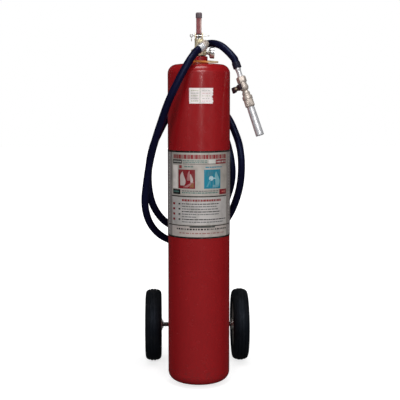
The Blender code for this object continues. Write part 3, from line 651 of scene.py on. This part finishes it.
def make_lights():
    """Soft boxes that light without showing in the gloss, and two narrow lamps that only show in it."""
    boxes = [
        lamp("left_box", (-2.2, -3.0, 2.0), 0.7, (1.6, 2.2), 40, (0.95, 0.97, 1.0)),
        lamp("right_box", (2.4, -2.8, 1.8), 0.7, (1.4, 2.0), 40),
        lamp("front_box", (0.3, -3.8, 1.6), 0.6, (1.4, 2.0), 23),
        lamp("back_left", (-2.2, 2.8, 2.0), 0.6, (1.6, 2.0), 34),
        lamp("back_right", (2.2, 2.8, 2.0), 0.6, (1.6, 2.0), 34),
    ]
    for box in boxes:
        box.visible_glossy = False
    glints = [
        lamp("strip", (0.45, -3.6, 1.30), 0.98, (0.16, 0.7), 6),
        lamp("crescent", (0.45, -3.4, 2.70), 1.03, (1.5, 0.5), 48),
    ]
    for glint in glints:
        glint.visible_diffuse = False
    lamp("top_box", (0.1, -0.6, 3.4), 0.6, (1.2, 1.2), 34)
    bpy.context.scene.view_settings.view_transform = "Standard"


# ---- Hose ----


def end_of(node, place, way):
    """Where a node ends along an axis through a place."""
    return place + way * span(node, place, way)[1]


def nozzle_axis():
    """The nozzle end of the hose's dark cuff, on the nozzle's axis, and the way it points."""
    way = (middle("lance_tube") - middle("hose_tail")).normalized()
    return end_of("hose_cuff", middle("hose_tail"), way), way


def make_hose():
    start, way = NOZZLE
    first = FERRULE_END + HOSE_DIR * GAP
    last = start + way * (span("hose_cuff", start, way)[0] - GAP)
    route = [first + HOSE_DIR * HOSE_LEAD, *HOSE_ROUTE, last - way * HOSE_LEAD]
    points = [first, *smooth_route(route, HOSE_STEP), last]
    hose = tube("hose", points, HOSE_DIAMETER / 2)
    stand_for(hose, "hose_rubber", "discharge_hose")


# ---- Cylinder and its labels ----


def dished(side_z, crown_r, up, to_r):
    """A dished end from the wall toward the axis, as (r, z)."""
    knuckle_mid = TANK_R - KNUCKLE_R
    reach = crown_r - KNUCKLE_R
    drop = math.sqrt(reach**2 - knuckle_mid**2)
    turn = math.asin(drop / reach)
    steps = 14
    points = []
    for i in range(steps + 1):
        a = turn * i / steps
        points.append((knuckle_mid + KNUCKLE_R * math.cos(a), side_z + up * KNUCKLE_R * math.sin(a)))
    edge_r = points[-1][0]
    for i in range(1, steps + 1):
        r = edge_r + (to_r - edge_r) * i / steps
        points.append((r, max(0, side_z + up * (math.sqrt(crown_r**2 - r**2) - drop))))
    return points


def make_shell():
    top = dished(SIDE_HIGH, TOP_CROWN_R, 1, 0.0175)
    base = dished(SIDE_LOW, BASE_CROWN_R, -1, 0)
    rows = 24
    side = [(TANK_R, SIDE_HIGH + (SIDE_LOW - SIDE_HIGH) * i / rows) for i in range(1, rows)]
    inner = [(0.0172, top[-1][1] - 0.003)]
    outline = inner + top[::-1] + side + base
    lathe("cylinder_shell", "red_paint", "shell_surface", outline, segments=160, closed=False)
    low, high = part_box("neck_boss")
    outline = [(0.0162, high.z), (high.x, high.z)]
    outline += [(high.x, low.z + 0.0030), (high.x + 0.0030, low.z - 0.0004)]
    lathe("neck_boss", "red_paint", "boss_surface", outline, 0.0018, closed=False)


RASTER = 0.0015  # the print's grid round the cylinder

SILVER = ink(192, 184, 176)
PANEL = ink(206, 200, 197)
FOOT = ink(208, 196, 190)
DULL = ink(74, 68, 68)
EDGE_GREY = ink(178, 168, 166)
BLACK = ink(12, 10, 13)
WHITE = ink(250, 240, 234)
RED = ink(150, 50, 54)
DARK_RED = ink(140, 20, 34)
TEAL = ink(86, 128, 122)
CYAN = ink(18, 134, 160)
GREY = ink(104, 104, 104)
PALE = ink(214, 212, 206)
CORAL = ink(220, 120, 110)
SLATE = ink(84, 86, 82)
ROSE = ink(168, 116, 112)

RED_SQUARE = (-0.0735, -0.0145)  # the left and right edges of the two pictogram squares
CYAN_SQUARE = (0.0130, 0.0715)
SQUARE_LOW = 0.1205  # their foot, below the label's top
PRINT_LIFT = 0.00085  # how far the pictograms stand off the wall


def word_bars(rng, left, right, low, high, colour, gap, longest):
    """A line of print as bars of uneven length, on the raster."""
    bars = []
    at = round(left / RASTER)
    end = round(right / RASTER)
    while at < end:
        length = min(rng.randint(2, longest), end - at)
        bars.append((at * RASTER, (at + length) * RASTER, low, high, colour))
        at += length + gap
    return bars


def main_print(low, high):
    """What is printed on the main label, as (left, right, low, high, ink), later ones on top."""
    rng = random.Random(7)
    sheet = [(-1, 1, 0, 2, SILVER)]

    def block(top, *rows):
        """Bars so far below a height, and lines of print, which also give their gap and longest word."""
        for left, right, down, up, colour, *words in rows:
            place = (left, right, top - down, top - up, colour)
            if words:
                sheet.extend(word_bars(rng, *place, *words))
            else:
                sheet.append(place)

    def strip(middle, half, z0, z1, colour):
        sheet.append((middle - half, middle + half, z0, z1, colour))

    for side in (-1, 1):
        strip(side * 0.160, 0.050, low, high, EDGE_GREY)
        for at, thick in ((0.108, 0.003), (0.117, 0.0015), (0.135, 0.003), (0.156, 0.0015)):
            strip(side * at, thick / 2, low, high, DULL)
        for k in range(26):
            z = low + 0.012 + k * 0.010
            strip(side * 0.1265, 0.0045, z, z + 0.0035, PALE)
            strip(side * 0.1455, 0.0045, z + 0.003, z + 0.006, SILVER)
    block(high, (-1, 1, 0.0058, 0, BLACK))
    block(low, (-1, 1, 0, -0.0052, BLACK))
    header = high - 0.012
    block(header, (-0.096, 0.100, 0.0135, 0, RED, 1, 7))
    row = header - 0.016
    block(row,
          (-0.099, -0.060, 0.0130, 0, BLACK),
          (-0.096, -0.063, 0.0090, 0.0045, PALE, 1, 3),
          (-0.057, 0.024, 0.0050, 0.0020, TEAL, 1, 8),
          (-0.057, 0.024, 0.0100, 0.0075, TEAL, 1, 8),
          (-0.057, 0.060, 0.0145, 0.0130, BLACK),
          (0.0285, 0.051, 0.0120, 0, PALE),
          (0.054, 0.099, 0.0140, 0, DARK_RED),
          (0.057, 0.096, 0.0095, 0.0045, PALE, 2, 4))
    block(row - 0.018,
          (-0.070, -0.060, 0.0100, 0, RED),
          (-0.051, -0.021, 0.0060, 0.0025, TEAL, 1, 8),
          (0.018, 0.078, 0.0075, 0.0040, CYAN, 1, 8))
    top = high - 0.0595
    bottom = high - SQUARE_LOW
    sheet.append((-0.099, RED_SQUARE[0] - 0.003, bottom, top + 0.014, WHITE))
    sheet.append((*RED_SQUARE, bottom, top, DARK_RED))
    sheet.append((*CYAN_SQUARE, bottom, top, CYAN))
    block(bottom - 0.0030,
          (-0.099, -0.066, 0.0160, 0, BLACK),
          (-0.096, -0.072, 0.0100, 0.0050, TEAL, 1, 4),
          (-0.060, 0.063, 0.0060, 0.0030, GREY, 1, 8),
          (-0.060, 0.063, 0.0120, 0.0085, TEAL, 1, 8),
          (0.067, 0.102, 0.0170, 0, DARK_RED),
          (0.078, 0.096, 0.0105, 0.0060, CORAL, 1, 4))
    rule = high - 0.1475
    block(rule,
          (-0.106, 0.104, 0, -0.0036, BLACK),
          (-0.102, 0.102, 0.0885, 0.0012, PANEL),
          (-0.060, 0.074, 0.0140, 0.0070, RED, 1, 6))
    for k, end in enumerate((0.066, 0.058, 0.062, 0.070, 0.066, -0.010, 0.098, 0.086)):
        z = rule - 0.0205 - k * 0.0083
        block(z, (-0.060, end, 0.0030, 0, GREY if k % 3 else BLACK, 1, 9))
        if k % 2 == 0:
            block(z, (-0.099, -0.088, 0.0060, -0.0010, DARK_RED), (-0.073, -0.066, 0.0045, -0.0005, BLACK))
    foot = high - 0.2385
    sheet.append((-0.104, 0.104, low + 0.0052, foot, FOOT))
    block(foot,
          (-0.130, 0.130, 0.0030, 0, BLACK),
          (-0.033, 0.051, 0.0075, 0.0020, SLATE),
          (-0.081, 0.102, 0.0150, 0.0100, BLACK, 2, 5),
          (-0.070, 0.090, 0.0270, 0.0235, ROSE, 2, 8))
    return sheet


def on_cylinder(around, z, lift):
    """A point on the cylinder, by its way round from the front, its height and its lift off the wall."""
    angle = around / TANK_R
    r = TANK_R + lift
    return Vector((r * math.sin(angle), -r * math.cos(angle), z))


def sheet_lines(prints, low, high):
    """The heights at which what is printed changes, those that nearly meet taken as one."""
    made = [low]
    for z in sorted(min(max(z, low), high) for p in prints for z in p[2:4]):
        if z - made[-1] > 0.0002:
            made.append(z)
    made[-1] = high
    return made


def printed_sheet(name, low, high, left, right, prints, right_edge=None, rows=None):
    """A sheet stuck on the cylinder, its faces coloured by what is printed on them."""
    heights = rows or sheet_lines(prints, low, high)
    count = round((right - left) / RASTER)
    bm = bmesh.new()
    grid = []
    for z in heights:
        edge = right_edge(z) if right_edge else right
        arounds = [left + (edge - left) * i / count for i in range(count + 1)]
        grid.append([(around, z, bm.verts.new(on_cylinder(around, z, LABEL_LIFT))) for around in arounds])
    inks = []
    for lower, upper in zip(grid, grid[1:]):
        for i in range(count):
            corners = [lower[i], lower[i + 1], upper[i + 1], upper[i]]
            bm.faces.new([c[2] for c in corners])
            around = sum(c[0] for c in corners) / 4
            z = sum(c[1] for c in corners) / 4
            hits = [p[4] for p in prints if p[0] <= around <= p[1] and p[2] <= z <= p[3]]
            inks.append(hits[-1])
    rim = [grid[0], grid[-1], [row[0] for row in grid], [row[-1] for row in grid]]
    for line in rim:
        inner = [bm.verts.new(on_cylinder(around, z, 0.0001)) for around, z, _ in line]
        for i in range(len(line) - 1):
            bm.faces.new([line[i][2], line[i + 1][2], inner[i + 1], inner[i]])
            inks.append(EDGE_GREY)
    return made_from(bm, name, inks=inks)


def make_pictograms(high):
    """Flames and a can on the red square, a plug and its lead on the blue one."""
    bm = bmesh.new()
    inks = []
    columns = 4
    bottom = high - SQUARE_LOW

    def patch(at, low, top, left, right, colour, rows=14):
        """A patch between two edges, each a function of the share of the way up."""
        grid = []
        for j in range(rows + 1):
            t = j / rows
            z = bottom + low + (top - low) * t
            arounds = [at + left(t) + (right(t) - left(t)) * i / columns for i in range(columns + 1)]
            grid.append([bm.verts.new(on_cylinder(around, z, PRINT_LIFT)) for around in arounds])
        for lower, upper in zip(grid, grid[1:]):
            for i in range(columns):
                bm.faces.new([lower[i], lower[i + 1], upper[i + 1], upper[i]])
                inks.append(colour)

    def fire(at, low, width, height, lean, colour):
        """A flame that widens from its foot and runs out in a leaning tip."""
        def half(t):
            return width / 2 * math.sin(math.pi * min(1, 0.18 + t * 0.82) ** 0.8) ** 0.8

        def sway(t):
            return lean * t * t + width * 0.10 * math.sin(6 * t)

        patch(at, low, low + height, lambda t: sway(t) - half(t), lambda t: sway(t) + half(t), colour)

    def ball(t):
        return 0.0075 * math.sqrt(max(0, 1 - (2 * t - 1) ** 2))

    white = ink(206, 190, 186)
    pink = ink(180, 120, 120)
    pale = ink(186, 212, 218)
    red = RED_SQUARE[0]
    fire(red + 0.0150, 0.010, 0.020, 0.045, 0.002, white)
    fire(red + 0.0370, 0.026, 0.011, 0.032, 0.004, pink)
    fire(red + 0.0470, 0.020, 0.009, 0.028, -0.003, white)
    patch(red, 0.004, 0.021, lambda t: 0.0185 + 0.030 * t, lambda t: 0.0345 + 0.022 * t, pink)
    patch(red, 0.004, 0.018, lambda t: 0.0395 + 0.008 * t, lambda t: 0.0540, ink(150, 100, 66))
    blue = CYAN_SQUARE[0]
    patch(blue, 0.025, 0.041, lambda t: 0.0240 - ball(t), lambda t: 0.0240 + ball(t), pale)
    patch(blue, 0.006, 0.030, lambda t: 0.0075 + 0.012 * t, lambda t: 0.0135 + 0.010 * t, ink(84, 160, 180))
    fire(blue + 0.0460, 0.012, 0.017, 0.043, -0.004, ink(130, 186, 196))
    patch(blue, 0.004, 0.012, lambda t: 0.0295, lambda t: 0.0495 + 0.006 * t, ink(110, 172, 188))
    patch(blue, 0.031, 0.035, lambda t: 0.0305, lambda t: 0.0420 - 0.004 * t, pale, 4)
    stand_for(made_from(bm, "label_pictograms", inks=inks), "label_film", "main_label")


def make_main_label():
    low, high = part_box("main_label")
    left = -round(math.radians(LABEL_REACH) * TANK_R / RASTER) * RASTER
    sheet = printed_sheet("main_label_film", low.z, high.z, left, -left, main_print(low.z, high.z))
    stand_for(sheet, "label_film", "main_label")
    make_pictograms(high.z)


def make_small_label():
    """A paper sticker, its right edge torn, with faint stamps."""
    low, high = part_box("inspection_label")
    left, right = (math.asin(p.x / TANK_R) * TANK_R for p in (low, high))
    height = high.z - low.z
    paper = ink(250, 240, 238)
    rng = random.Random(3)
    prints = [(-1, 1, 0, 2, paper)]
    faint = (ink(196, 196, 172), ink(226, 192, 192), ink(196, 194, 188))
    for k in range(5):
        z = low.z + height * (0.14 + 0.165 * k)
        prints += word_bars(rng, left + 0.006, left + 0.030, z, z + 0.0030, faint[k % 2 * 2], 1, 5)
        prints += word_bars(rng, left + 0.042, right - 0.010, z, z + 0.0025, faint[(k + 1) % 3], 2, 5)
    prints.append((left + 0.033, left + 0.036, low.z, high.z, ink(206, 204, 190)))

    def torn(z):
        t = (z - low.z) / height
        notch = 0.0030 * math.exp(-(((t - 0.42) / 0.10) ** 2))
        return right - notch - 0.0010 * math.sin(31 * t) - 0.0006 * math.sin(73 * t + 1)

    rows = [low.z + height * i / 60 for i in range(61)]
    sheet = printed_sheet("small_label_paper", low.z, high.z, left, right, prints, torn, rows)
    stand_for(sheet, "label_paper", "inspection_label")


# ---- Valve ----


def make_valve():
    """The casting: hexagon, neck, barrel, outlet and the two ears that carry the lever's pin."""
    hex_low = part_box("valve_gasket")[1].z + GAP
    hex_high = hex_low + 0.021
    barrel_top = 1.1325
    parts = [turned("hexagon", hexagon_section(0.0255, hex_low, hex_high, 0.010), closed=True)]
    outline = [(0.0043, barrel_top), (0.0145, barrel_top), (0.0145, barrel_top - 0.0030)]
    outline += [(0.0137, barrel_top - 0.0040), (0.0137, hex_high + 0.0070), (0.0150, hex_high + 0.0040)]
    outline += [(0.0180, hex_high + 0.0010), (0.0180, hex_high - 0.002), (0.010, hex_high - 0.002)]
    parts.append(turned("barrel", eased(outline, 0.0012)))
    outline = [(0.0080, 0.0285), (0.0115, 0.0285), (0.0115, 0.0205), (0.0135, 0.0195), (0.0135, 0.0170)]
    outline += [(0.0115, 0.0158), (0.0115, 0.006), (0.0080, 0.006)]
    parts.append(turned("outlet", eased(outline, 0.0007), (0, 0, OUTLET_Z), OUTLET_DIR))
    inner, outer = 0.0094, 0.0129
    foot, top = barrel_top - 0.0016, barrel_top + 0.0197
    outline = [(-0.0142, foot), (0.0098, foot), (0.0098, top), (-0.0142, top)]
    outline = eased(outline, 0.006, closed=True, steps=6)
    for xs in ((-outer, -inner), (inner, outer)):
        parts.append(slab("ear", outline, *xs, 0.0006))
    stand_for(joined("valve_casting", parts), "brass", "valve_body")


def make_lever_cap():
    """The moulded cap pushed over the lever's end: a rounded box, open below."""
    low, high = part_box("lever_cap")
    mid = (low + high) / 2
    size = high - low
    narrowing, rounding, wall, depth = 0.0008, 0.0046, 0.0012, 0.0158
    bm = bmesh.new()
    bmesh.ops.create_cube(bm, size=1)
    bmesh.ops.scale(bm, vec=(size.x - narrowing, size.y, size.z), verts=bm.verts)
    bmesh.ops.translate(bm, vec=mid, verts=bm.verts)
    edges = [e for e in bm.edges if any(v.co.z > mid.z for v in e.verts)]
    bmesh.ops.bevel(bm, geom=edges, offset=rounding, segments=6, profile=0.5, affect="EDGES")
    bottom = min(bm.faces, key=lambda f: f.calc_center_median().z)
    bmesh.ops.inset_region(bm, faces=[bottom], thickness=wall)
    made = bmesh.ops.extrude_face_region(bm, geom=[bottom])
    roof = [v for v in made["geom"] if isinstance(v, bmesh.types.BMVert)]
    bmesh.ops.translate(bm, verts=roof, vec=(0, 0, depth))
    bmesh.ops.recalc_face_normals(bm, faces=bm.faces)
    stand_for(made_from(bm, "lever_end_cap"), "cap_plastic", "lever_cap")


def make_safety_pin():
    low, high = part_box("safety_pin")
    y = (low.y + high.y) / 2
    z = (low.z + high.z) / 2
    rod = [(0, high.x), (0.0016, high.x), (0.0016, low.x + 0.008), (0, low.x + 0.008)]
    parts = [turned("rod", eased(rod, 0.0005), (0, y, z), (1, 0, 0), 24)]
    eye_x = low.x + 0.0056
    eye_r = 0.0042
    loop = circle(40, lambda a: (eye_x + eye_r * math.cos(a), y, z + eye_r * math.sin(a)))
    parts.append(meshed(tube("eye", loop, 0.0014, cyclic=True)))
    stand_for(joined("safety_pin_wire", parts), "plated_steel", "safety_pin")
    low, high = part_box("safety_pin_ring")
    mid = (low + high) / 2
    wire = 0.0010
    r = (high.z - low.z) / 2 - wire
    loop = circle(64, lambda a: (mid.x, mid.y + r * math.sin(a), mid.z + r * math.cos(a)))
    stand_for(meshed(tube("pull_ring", loop, wire, cyclic=True)), "plated_steel", "safety_pin_ring")


def make_gauge():
    low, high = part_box("gauge_case")
    z = (low.z + high.z) / 2
    r = (high.z - low.z) / 2
    back = 0.034
    outline = [(r - 0.0018, back + 0.0085), (r - 0.0018, high.x), (r - 0.0004, high.x), (r, high.x - 0.0010)]
    outline += [(r, high.x - 0.0035), (r - 0.0006, high.x - 0.0042), (r - 0.0006, back + 0.004)]
    outline += [(r - 0.004, back), (0.0085, back), (0.0085, back - 0.0015), (0.0060, back - 0.003)]
    outline += [(0.0060, 0.0262), (0.0048, 0.0262), (0.0048, 0.0135), (0, 0.0135)]
    lathe("gauge_case", "chrome", "gauge_shell", outline, 0.0005, (0, 0, z), (1, 0, 0), closed=False)
    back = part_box("gauge_lens")[0].x
    edge = r - 0.0018 - GAP
    dome = [(edge * math.cos(a), back + 0.0006 + 0.0010 * math.sin(a))
            for a in (math.pi / 2 * i / 8 for i in range(8, -1, -1))]
    dome += [(edge, back), (0, back)]
    lathe("gauge_lens", "clear_lens", "gauge_glass", dome, 0, (0, 0, z), (1, 0, 0), closed=False)
    make_dial(z)


def make_dial(z):
    """A white dial with red, green and red bands and black ticks."""
    low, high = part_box("gauge_dial")
    edge = (high.z - low.z) / 2
    steps = 144
    rings = [0.0010, edge * 0.60, edge * 0.66, edge * 0.80, edge * 0.84, edge * 0.90, edge]
    green, red, white = ink(40, 140, 70), ink(190, 40, 40), ink(230, 228, 222)
    bm = bmesh.new()
    grid = [circle(steps, lambda a: bm.verts.new((high.x, -r * math.sin(a), z + r * math.cos(a))))
            for r in rings]
    inks = []
    for k in range(len(rings) - 1):
        for i in range(steps):
            n = (i + 1) % steps
            bm.faces.new([grid[k][i], grid[k][n], grid[k + 1][n], grid[k + 1][i]])
            turn = (i / steps * 360 + 180) % 360 - 180
            colour = white
            if abs(turn) < 125:
                if k == 2:
                    colour = green if -25 < turn < 45 else red
                elif k in (3, 4) and i % 9 == 0:
                    colour = BLACK
            inks.append(colour)
    stand_for(made_from(bm, "dial_print", inks=inks), "dial_face", "gauge_dial")


def make_ring():
    """The loose plastic ring round the neck, its section rounded and its rim a little wavy."""
    place = middle("maintenance_ring")
    tilt = Matrix.Rotation(math.radians(3), 3, "X") @ Matrix.Rotation(math.radians(2.5), 3, "Y")
    way = tilt @ Vector((0, 0, 1))
    low, high, outer = span("maintenance_ring", place, way)
    inner = outer - 0.011

    def section(angle):
        wave = 0.0003 * math.sin(5 * angle)
        outline = [(inner, high), (outer, high), (outer, low), (inner, low)]
        return [(r, h + wave) for r, h in eased(outline, 0.0011, closed=True)]

    lathe("maintenance_ring", "ring_plastic", "neck_ring", section, 0, place, way, 120)


# ---- Hose end and nozzle ----


def make_hose_end():
    out = OUTLET_DIR
    nut_place = middle("hose_nut")
    low, high, outer = span("hose_nut", nut_place, HOSE_DIR)
    end = nut_place + HOSE_DIR * (low - GAP)
    elbow_r = 0.0095
    bend_r, lead = 0.012, 0.001
    start = end - (out + HOSE_DIR) * (bend_r + lead)
    centre = start + out * lead + HOSE_DIR * bend_r
    bend = quarter(lambda a: centre - HOSE_DIR * bend_r * math.cos(a) + out * bend_r * math.sin(a), 18)
    elbow = meshed(tube("elbow_tube", [start, *bend, end], elbow_r))
    outline = eased([(0.0085, 0.0030), (0.0115, 0.0030), (0.0115, 0.0), (0.0085, 0.0)], 0.0006)
    collar = turned("elbow_collar", outline, start, out, 64)
    stand_for(joined("elbow_casting", [elbow, collar]), "nickel", "outlet_elbow")
    hexagon = hexagon_section(outer, low, high, 0.0080)
    lathe("hose_nut", "nickel", "hose_nut_hex", hexagon, 0, nut_place, HOSE_DIR)
    place = middle("hose_ferrule")
    low, high, outer = span("hose_ferrule", place, HOSE_DIR)
    lathe("hose_ferrule", "aluminium", "ferrule_crimped", crimped(0.0080, outer, low, high), 0, place, HOSE_DIR)


def crimped(bore, outer, low, high, grooves=3):
    """A ferrule's section with pressed rings."""
    outline = [(bore, high), (outer, high)]
    pitch = (high - low) / (grooves + 1)
    for k in range(grooves):
        z = high - pitch * (k + 1)
        outline += [(outer, z + 0.0014), (outer - 0.0010, z + 0.0006), (outer - 0.0010, z - 0.0006),
                    (outer, z - 0.0014)]
    outline += [(outer, low), (bore, low)]
    return eased(outline, 0.0006, closed=True)


def make_nozzle():
    start, way = NOZZLE

    def station(node):
        return span(node, start, way)

    low, high, outer = station("hose_cuff")
    ribs = [(0.0075, high), (outer - 0.0006, high)]
    for k in range(5):
        z = high - 0.0022 - k * 0.0034
        ribs += [(outer, z), (outer, z - 0.0014), (outer - 0.0008, z - 0.0020)]
    ribs += [(outer - 0.0004, low), (0.0075, low)]
    lathe("hose_cuff", "cuff_rubber", "cuff_ribbed", ribs, 0.0004, start, way, 72)

    low, high, outer = station("hose_tail")
    outline = [(0.0065, high), (outer, high), (outer, high - 0.0035), (outer - 0.0012, high - 0.0045)]
    outline += [(outer - 0.0012, low + 0.0075), (outer, low + 0.0065), (outer, low), (0.0065, low)]
    lathe("hose_tail", "aluminium", "tail_tube", outline, 0.0006, start, way, 72)

    low, high, outer = station("swivel_nut")
    lathe("swivel_nut", "nickel", "swivel_hex", hexagon_section(outer, low, high, 0.0075), 0, start, way)
    make_shutoff(start, way)

    low, high, outer = station("lance_coupling")
    rim = 0.0125

    def coupling(angle):
        knurl = 0.00035 * math.cos(36 * angle)
        outline = [(0.0075, low), (outer - 0.0016, low), (outer, low + 0.0015), (outer, low + 0.0110)]
        outline += [(outer - 0.0020, low + 0.0125), (outer - 0.0015 + knurl, low + 0.0150)]
        outline += [(outer - 0.0012 + knurl, high - 0.0035), (outer - 0.0035, high - 0.0005), (rim, high)]
        return [*outline, (0.0075, high)]

    lathe("lance_coupling", "nickel", "coupling_knurled", coupling, 0, start, way, 216)

    low, high, outer = station("lance_tube")
    outline = [(0.0095, low), (0.0115, low), (0.0122, low + 0.004), (0.0125, low + 0.0115)]
    outline += [(0.0132, high - 0.030), (outer, high - 0.003), (outer, high), (outer - 0.0013, high)]
    outline.append((0.0100, low + 0.012))
    lathe("lance_tube", "aluminium", "lance_barrel", outline, 0.0006, start, way)


def make_shutoff(start, way):
    """The ball valve's casting with the boss that its stem comes out of."""
    side = Vector(joint("shutoff_turn")["axis"]).normalized()
    if (middle("shutoff_handle") - start).dot(side) < 0:
        side = -side
    low, high, _ = span("shutoff_body", start, way)
    mid = start + way * (middle("shutoff_ball") - start).dot(way)
    outline = [(0.0075, low), (0.0125, low), (0.0125, low + 0.0085), (0.0135, low + 0.0100)]
    centre = (mid - start).dot(way)
    for i in range(13):
        a = math.radians(25 + 130 * i / 12)
        outline.append((0.0040 + 0.0108 * math.sin(a), centre - 0.0125 * math.cos(a)))
    outline += [(0.0135, high - 0.0085), (0.0125, high - 0.0070), (0.0125, high), (0.0075, high)]
    body = turned("casting", eased(outline, 0.0007, closed=True), start, way, 96, closed=True)
    outline = [(0.0034, 0.0215), (0.0085, 0.0215), (0.0085, 0.0180), (0.0075, 0.0168), (0.0075, 0.0090)]
    neck = turned("neck", eased([*outline, (0.0034, 0.0090)], 0.0006), mid, side, 64)
    stand_for(joined("shutoff_casting", [body, neck]), "nickel", "shutoff_body")
    low, high, outer = span("packing_nut", mid, side)
    lathe("packing_nut", "brass", "packing_hex", hexagon_section(outer, low, high, 0.0040), 0, mid, side)
    low, high, outer = span("shutoff_stem", mid, side)
    stem = [(0, high), (outer, high), (outer, low), (0, low)]
    lathe("shutoff_stem", "brass", "stem_rod", stem, 0.0008, mid, side, 48, closed=False)


# ---- Wheels and axle ----


def tyre_section(r, half, rim_r):
    """A solid tyre's section: a crowned tread with three grooves, and a raised line on each side."""
    def crown(x):
        return r - 0.0150 * (1 - math.sqrt(max(0, 1 - (x / half) ** 2)))

    outline = [(rim_r, -half + 0.006), (rim_r + 0.004, -half + 0.0015), (rim_r + 0.012, -half)]
    outline += [(rim_r + 0.0150, -half), (rim_r + 0.0155, -half - 0.0005), (rim_r + 0.0170, -half - 0.0005)]
    outline += [(rim_r + 0.0175, -half)]
    steps = 26
    grooves = (-0.0115, 0.0, 0.0115)
    xs = [-half + 2 * half * i / steps for i in range(steps + 1)]
    xs = [x for x in xs if all(abs(x - g) > 0.0026 for g in grooves)]
    tread = [(x, crown(x)) for x in xs]
    for groove in grooves:
        for x, deep in ((-0.0017, 0), (-0.0011, 0.0022), (0.0011, 0.0022), (0.0017, 0)):
            tread.append((groove + x, crown(groove + x) - deep))
    outline += [(h, x) for x, h in sorted(tread)]
    outline += [(h, -x) for h, x in outline[6::-1]]
    return outline


def make_wheel(word):
    tyre_depth = 0.038
    tyre = f"tyre_{word}"
    low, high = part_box(tyre)
    centre = (low + high) / 2
    r = (high.z - low.z) / 2
    half = (high.x - low.x) / 2
    section = tyre_section(r, half, r - tyre_depth + 2 * GAP)
    made = turned(f"solid_tyre_{word}", section, centre, (1, 0, 0), 144, closed=True, sharp=TYRE_CRISP)
    stand_for(made, "tyre_rubber", tyre)
    rim = f"wheel_rim_{word}"
    low, high, outer = span(rim, centre, Vector((1, 0, 0)))
    bore = 0.0120
    dish = [(0.0220, 0.010), (0.0270, 0.006), (0.0460, 0.006), (0.0490, 0.0085), (0.0530, 0.0085)]
    dish += [(0.0560, 0.006), (0.0700, 0.006), (0.0780, half - 0.009), (0.0800, half - 0.0070)]
    dish += [(outer - 0.001, half - 0.0062), (outer, half - 0.0072)]
    outline = [(bore, high), (0.0190, high), (0.0210, high - 0.002), *dish]
    outline += [(h, -x) for h, x in dish[::-1]] + [(0.0210, low + 0.002), (0.0190, low), (bore, low)]
    lathe(rim, "rim_paint", f"rim_disc_{word}", outline, 0.0012, centre, (1, 0, 0), 120)


def make_axle():
    low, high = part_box("axle")
    y, z = (low.y + high.y) / 2, (low.z + high.z) / 2
    axle_r = 0.0075
    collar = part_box("wheel_rim_right")[0].x - 0.0005
    half = [(0, high.x), (axle_r - 0.0012, high.x), (axle_r, high.x - 0.0012), (axle_r, collar)]
    half += [(0.0140, collar), (0.0140, collar - 0.003), (axle_r, collar - 0.003)]
    outline = half + [(r, -x) for r, x in half[::-1]]
    lathe("axle", "steel", "axle_bar", outline, 0.0006, (0, y, z), (1, 0, 0), 64, closed=False)


# ---- Tow handle ----


def make_handle():
    low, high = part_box("tow_handle")
    tube_r = (high.z - low.z) / 2
    z = (low.z + high.z) / 2
    reach = high.x - tube_r
    back = high.y - tube_r
    corner = 0.040

    def bend(a):
        return -reach + corner - corner * math.cos(a), back - corner + corner * math.sin(a), z

    points = [(-reach, low.y, z), (-reach, 0.150, z), *quarter(bend, 20)]
    points += [(-x, y, h) for x, y, h in points[::-1]]
    stand_for(meshed(tube("handle_tube", points, tube_r)), "red_paint", "tow_handle")
    low, high, outer = span("handle_grip", Vector((0, back, z)), Vector((1, 0, 0)))
    ribs = 13
    pitch = (high - low - 0.012) / ribs
    outline = [(tube_r + GAP, high), (outer, high), (outer, high - 0.004)]
    for k in range(ribs):
        x = high - 0.006 - k * pitch
        outline += [(outer - 0.0012, x), (outer - 0.0012, x - pitch * 0.35)]
        outline += [(outer - 0.0003, x - pitch * 0.5), (outer - 0.0003, x - pitch * 0.85)]
    outline += [(outer, low + 0.004), (outer, low), (tube_r + GAP, low)]
    lathe("handle_grip", "grip_rubber", "grip_ribbed", outline, 0.0010, (0, back, z), (1, 0, 0), 72)


# ---- The rest of the frame ----

# The CAD nodes that show as they are: their finish and how far their edges are rounded
KEPT = [
    ("steel", 0, "siphon_tube valve_stem lever_cam lever_pivot_pin valve_spring"),
    ("steel", 0, "split_pin_left split_pin_right"),
    ("steel", 0.0008, "shutoff_handle"),
    ("seal_rubber", 0, "valve_gasket seat_seal"),
    ("red_lever", 0.0006, "valve_lever"),
    ("chrome", 0, "shutoff_ball"),
    ("black_plastic", 0.0001, "gauge_needle"),
    ("black_plastic", 0.0010, "handle_cover_near handle_cover_far"),
    ("red_paint", 0.0006, "hose_rack hose_saddle"),
    ("red_paint", 0.0008, "handle_lug_left handle_lug_right"),
    ("red_paint", 0.0010, "axle_plate_left axle_plate_right"),
    ("plated_steel", 0.0003, "wheel_washer_left wheel_washer_right"),
    ("plated_steel", 0.0004, "handle_bolt_left handle_bolt_right"),
    ("nylon", 0, "wheel_bush_left wheel_bush_right"),
]


make_camera()
make_world()
make_lights()
make_floor()
FINISHES = make_finishes()
NOZZLE = nozzle_axis()
FERRULE_END = end_of("hose_ferrule", middle("hose_ferrule"), HOSE_DIR)
make_hose()
make_shell()
make_main_label()
make_small_label()
make_valve()
make_lever_cap()
make_safety_pin()
make_gauge()
make_ring()
make_hose_end()
make_nozzle()
make_wheel("left")
make_wheel("right")
make_axle()
make_handle()
for finish, ease, nodes in KEPT:
    for node in nodes.split():
        keep(node, finish, ease)

bpy.context.view_layer.update()
